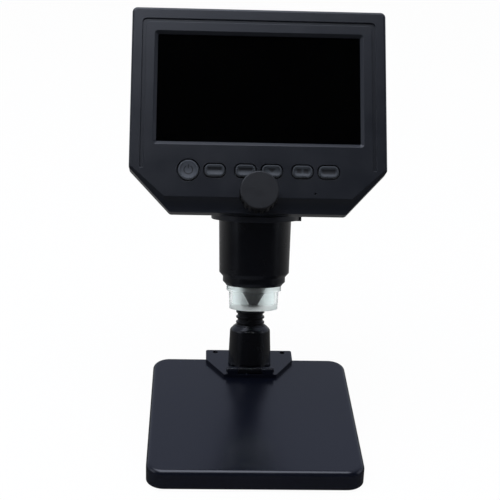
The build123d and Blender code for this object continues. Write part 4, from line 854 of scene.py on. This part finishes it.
# ---------------------------------------------------------------------------------------------
# Camera, floor, world and softboxes
# ---------------------------------------------------------------------------------------------

CAMERA_PLACE = Vector((-28.64, -522.23, 326.61)) * MM
CAMERA_PITCH = math.radians(23.845)
CAMERA_YAW = math.radians(2.720)
CAMERA_ROLL = math.radians(1.990)
CAMERA_LENS = 89.64  # focal length in millimetres
CAMERA_SENSOR = 36  # width in millimetres

FLOOR_HALF = 3.0  # half the floor's width
FLOOR_HEIGHT = -0.1 * MM  # just under the feet, so that no two faces lie in one plane
FLOOR_GLOW = 0.96  # share of the floor's own white for the camera. The rest is lit and takes the shadow
FLOOR_MIRRORED_NEAR = 0.03  # how bright gloss sees the floor in front of the object
FLOOR_MIRRORED_FAR = 0.45  # and behind it
FLOOR_FADE = (-0.1, 0.5)  # depths between which one turns to the other

# The room in linear colours: what gloss sees of it, and the fill that lights everything else
ROOM_LOW = (0.38, 0.43, 0.5, 1)
ROOM_HIGH = (0.33, 0.36, 0.46, 1)
ROOM_HEIGHTS = (0.06, 0.28)  # of those two colours, as shares of straight up
ROOM_IN_FRONT = (0.02, 0.022, 0.027, 1)
ROOM_FADE = (-0.35, 0.55)  # from that to the two colours, as shares of straight back
ROOM_FILL = (0.42, 0.42, 0.43, 1)
WHITE = (1, 1, 1, 1)
SOFTBOX_COLOUR = (0.9, 0.96, 1.12)


def place_camera():
    """The camera looks down at the object from the front, slightly from its left, with a slight roll."""
    forward = Vector(
        (
            math.sin(CAMERA_YAW) * math.cos(CAMERA_PITCH),
            math.cos(CAMERA_YAW) * math.cos(CAMERA_PITCH),
            -math.sin(CAMERA_PITCH),
        )
    )
    level = Vector((math.cos(CAMERA_YAW), -math.sin(CAMERA_YAW), 0))
    upward = level.cross(forward)
    right = level * math.cos(CAMERA_ROLL) + upward * math.sin(CAMERA_ROLL)
    up = upward * math.cos(CAMERA_ROLL) - level * math.sin(CAMERA_ROLL)
    data = bpy.data.cameras.new("camera")
    data.lens = CAMERA_LENS
    data.sensor_width = CAMERA_SENSOR
    data.clip_start = 0.01
    data.clip_end = 50
    camera = bpy.data.objects.new("camera", data)
    camera.matrix_world = leaning_frame(CAMERA_PLACE, right, up, -forward)
    bpy.context.scene.collection.objects.link(camera)
    bpy.context.scene.camera = camera


def background_rays(tree):
    """1 for rays that see the floor's own glow: from the camera, off gloss or through glass."""
    path = node(tree, "ShaderNodeLightPath")
    seen = node(
        tree,
        "ShaderNodeMath",
        {"operation": "MAXIMUM"},
        {0: path.outputs["Is Camera Ray"], 1: path.outputs["Is Glossy Ray"]},
    )
    return node(
        tree,
        "ShaderNodeMath",
        {"operation": "MAXIMUM"},
        {0: seen.outputs[0], 1: path.outputs["Is Transmission Ray"]},
    ).outputs[0]


def lay_floor():
    """A plain white floor that keeps a faint shadow. Gloss sees it dim, and paler behind the object."""
    mesh = bpy.data.meshes.new("floor")
    quarters = ((-1, -1), (1, -1), (1, 1), (-1, 1))
    corners = [(x * FLOOR_HALF, y * FLOOR_HALF, FLOOR_HEIGHT) for x, y in quarters]
    mesh.from_pydata(corners, [], [(0, 1, 2, 3)])
    floor = bpy.data.objects.new("floor", mesh)
    bpy.context.scene.collection.objects.link(floor)
    material = bpy.data.materials.new("white_paper_floor")
    material.use_nodes = True
    tree = material.node_tree
    tree.nodes.clear()
    paper = node(tree, "ShaderNodeBsdfDiffuse", inputs={"Color": srgb("#ffffff")})
    fade_start, fade_end = FLOOR_FADE
    place = node(tree, "ShaderNodeNewGeometry")
    depth = node(tree, "ShaderNodeSeparateXYZ", inputs={"Vector": place.outputs["Position"]})
    fall = node(
        tree,
        "ShaderNodeMapRange",
        {"interpolation_type": "SMOOTHSTEP"},
        {
            "Value": depth.outputs["Y"],
            "From Min": fade_start,
            "From Max": fade_end,
            "To Min": FLOOR_MIRRORED_NEAR,
            "To Max": FLOOR_MIRRORED_FAR,
        },
    )
    path = node(tree, "ShaderNodeLightPath")
    mirrored = node(
        tree,
        "ShaderNodeMath",
        {"operation": "SUBTRACT", "use_clamp": True},
        {0: path.outputs["Is Glossy Ray"], 1: path.outputs["Is Transmission Ray"]},
    )
    level = node(
        tree,
        "ShaderNodeMix",
        {"data_type": "FLOAT"},
        {"Factor": mirrored.outputs[0], NUMBER_A: 1.0, NUMBER_B: fall.outputs["Result"]},
    )
    glow = node(
        tree,
        "ShaderNodeEmission",
        inputs={"Color": srgb("#ffffff"), "Strength": level.outputs[NUMBER_RESULT]},
    )
    share = node(tree, "ShaderNodeMath", {"operation": "MULTIPLY"}, {0: background_rays(tree), 1: FLOOR_GLOW})
    mix = node(
        tree,
        "ShaderNodeMixShader",
        inputs={0: share.outputs[0], 1: paper.outputs["BSDF"], 2: glow.outputs["Emission"]},
    )
    node(tree, "ShaderNodeOutputMaterial", inputs={"Surface": mix.outputs["Shader"]})
    mesh.materials.append(material)


def light_world():
    """A room that the camera sees white. Gloss sees blue-grey behind the object, nearly black in front."""
    world = bpy.data.worlds.new("studio")
    bpy.context.scene.world = world
    world.use_nodes = True
    tree = world.node_tree
    tree.nodes.clear()
    place = node(tree, "ShaderNodeTexCoord")
    toward = node(tree, "ShaderNodeSeparateXYZ", inputs={"Vector": place.outputs["Generated"]})
    fade = node(tree, "ShaderNodeValToRGB", inputs={"Fac": toward.outputs["Z"]})
    set_stops(fade.color_ramp, list(zip(ROOM_HEIGHTS, (ROOM_LOW, ROOM_HIGH))))
    fade_start, fade_end = ROOM_FADE
    behind = node(
        tree,
        "ShaderNodeMapRange",
        {"interpolation_type": "SMOOTHSTEP"},
        {
            "Value": toward.outputs["Y"],
            "From Min": fade_start,
            "From Max": fade_end,
            "To Min": 0.0,
            "To Max": 1.0,
        },
    )
    room = node(
        tree,
        "ShaderNodeMix",
        {"data_type": "RGBA"},
        {"Factor": behind.outputs["Result"], COLOUR_A: ROOM_IN_FRONT, COLOUR_B: fade.outputs["Color"]},
    )
    path = node(tree, "ShaderNodeLightPath")
    straight = node(
        tree,
        "ShaderNodeMath",
        {"operation": "MAXIMUM"},
        {0: path.outputs["Is Camera Ray"], 1: path.outputs["Is Transmission Ray"]},
    )
    glossy = node(
        tree,
        "ShaderNodeMix",
        {"data_type": "RGBA"},
        {
            "Factor": path.outputs["Is Glossy Ray"],
            COLOUR_A: ROOM_FILL,
            COLOUR_B: room.outputs[COLOUR_RESULT],
        },
    )
    colour = node(
        tree,
        "ShaderNodeMix",
        {"data_type": "RGBA"},
        {"Factor": straight.outputs[0], COLOUR_A: glossy.outputs[COLOUR_RESULT], COLOUR_B: WHITE},
    )
    back = node(
        tree,
        "ShaderNodeBackground",
        inputs={"Color": colour.outputs[COLOUR_RESULT], "Strength": 1.0},
    )
    node(tree, "ShaderNodeOutputWorld", inputs={"Surface": back.outputs["Background"]})


def hang_softbox(name, place, target, size, watts):
    """A square soft lamp at place, facing target, size metres wide."""
    data = bpy.data.lights.new(name, "AREA")
    data.shape = "SQUARE"
    data.size = size
    data.energy = watts
    data.color = SOFTBOX_COLOUR
    lamp = bpy.data.objects.new(name, data)
    lamp.location = place
    lamp.rotation_mode = "QUATERNION"
    lamp.rotation_quaternion = (Vector(target) - Vector(place)).to_track_quat("-Z", "Y")
    bpy.context.scene.collection.objects.link(lamp)


bpy.context.scene.view_settings.view_transform = "Standard"
place_camera()
lay_floor()
light_world()
hang_softbox("top_softbox", place=(-0.16, -0.03, 1.08), target=(0, 0.04, 0.15), size=0.9, watts=7.6)
hang_softbox("left_softbox", place=(-1.0, -0.25, 0.45), target=(0, 0, 0.08), size=0.6, watts=1.0)
hang_softbox("right_softbox", place=(1.1, -0.1, 0.4), target=(0, 0, 0.08), size=0.6, watts=0.7)
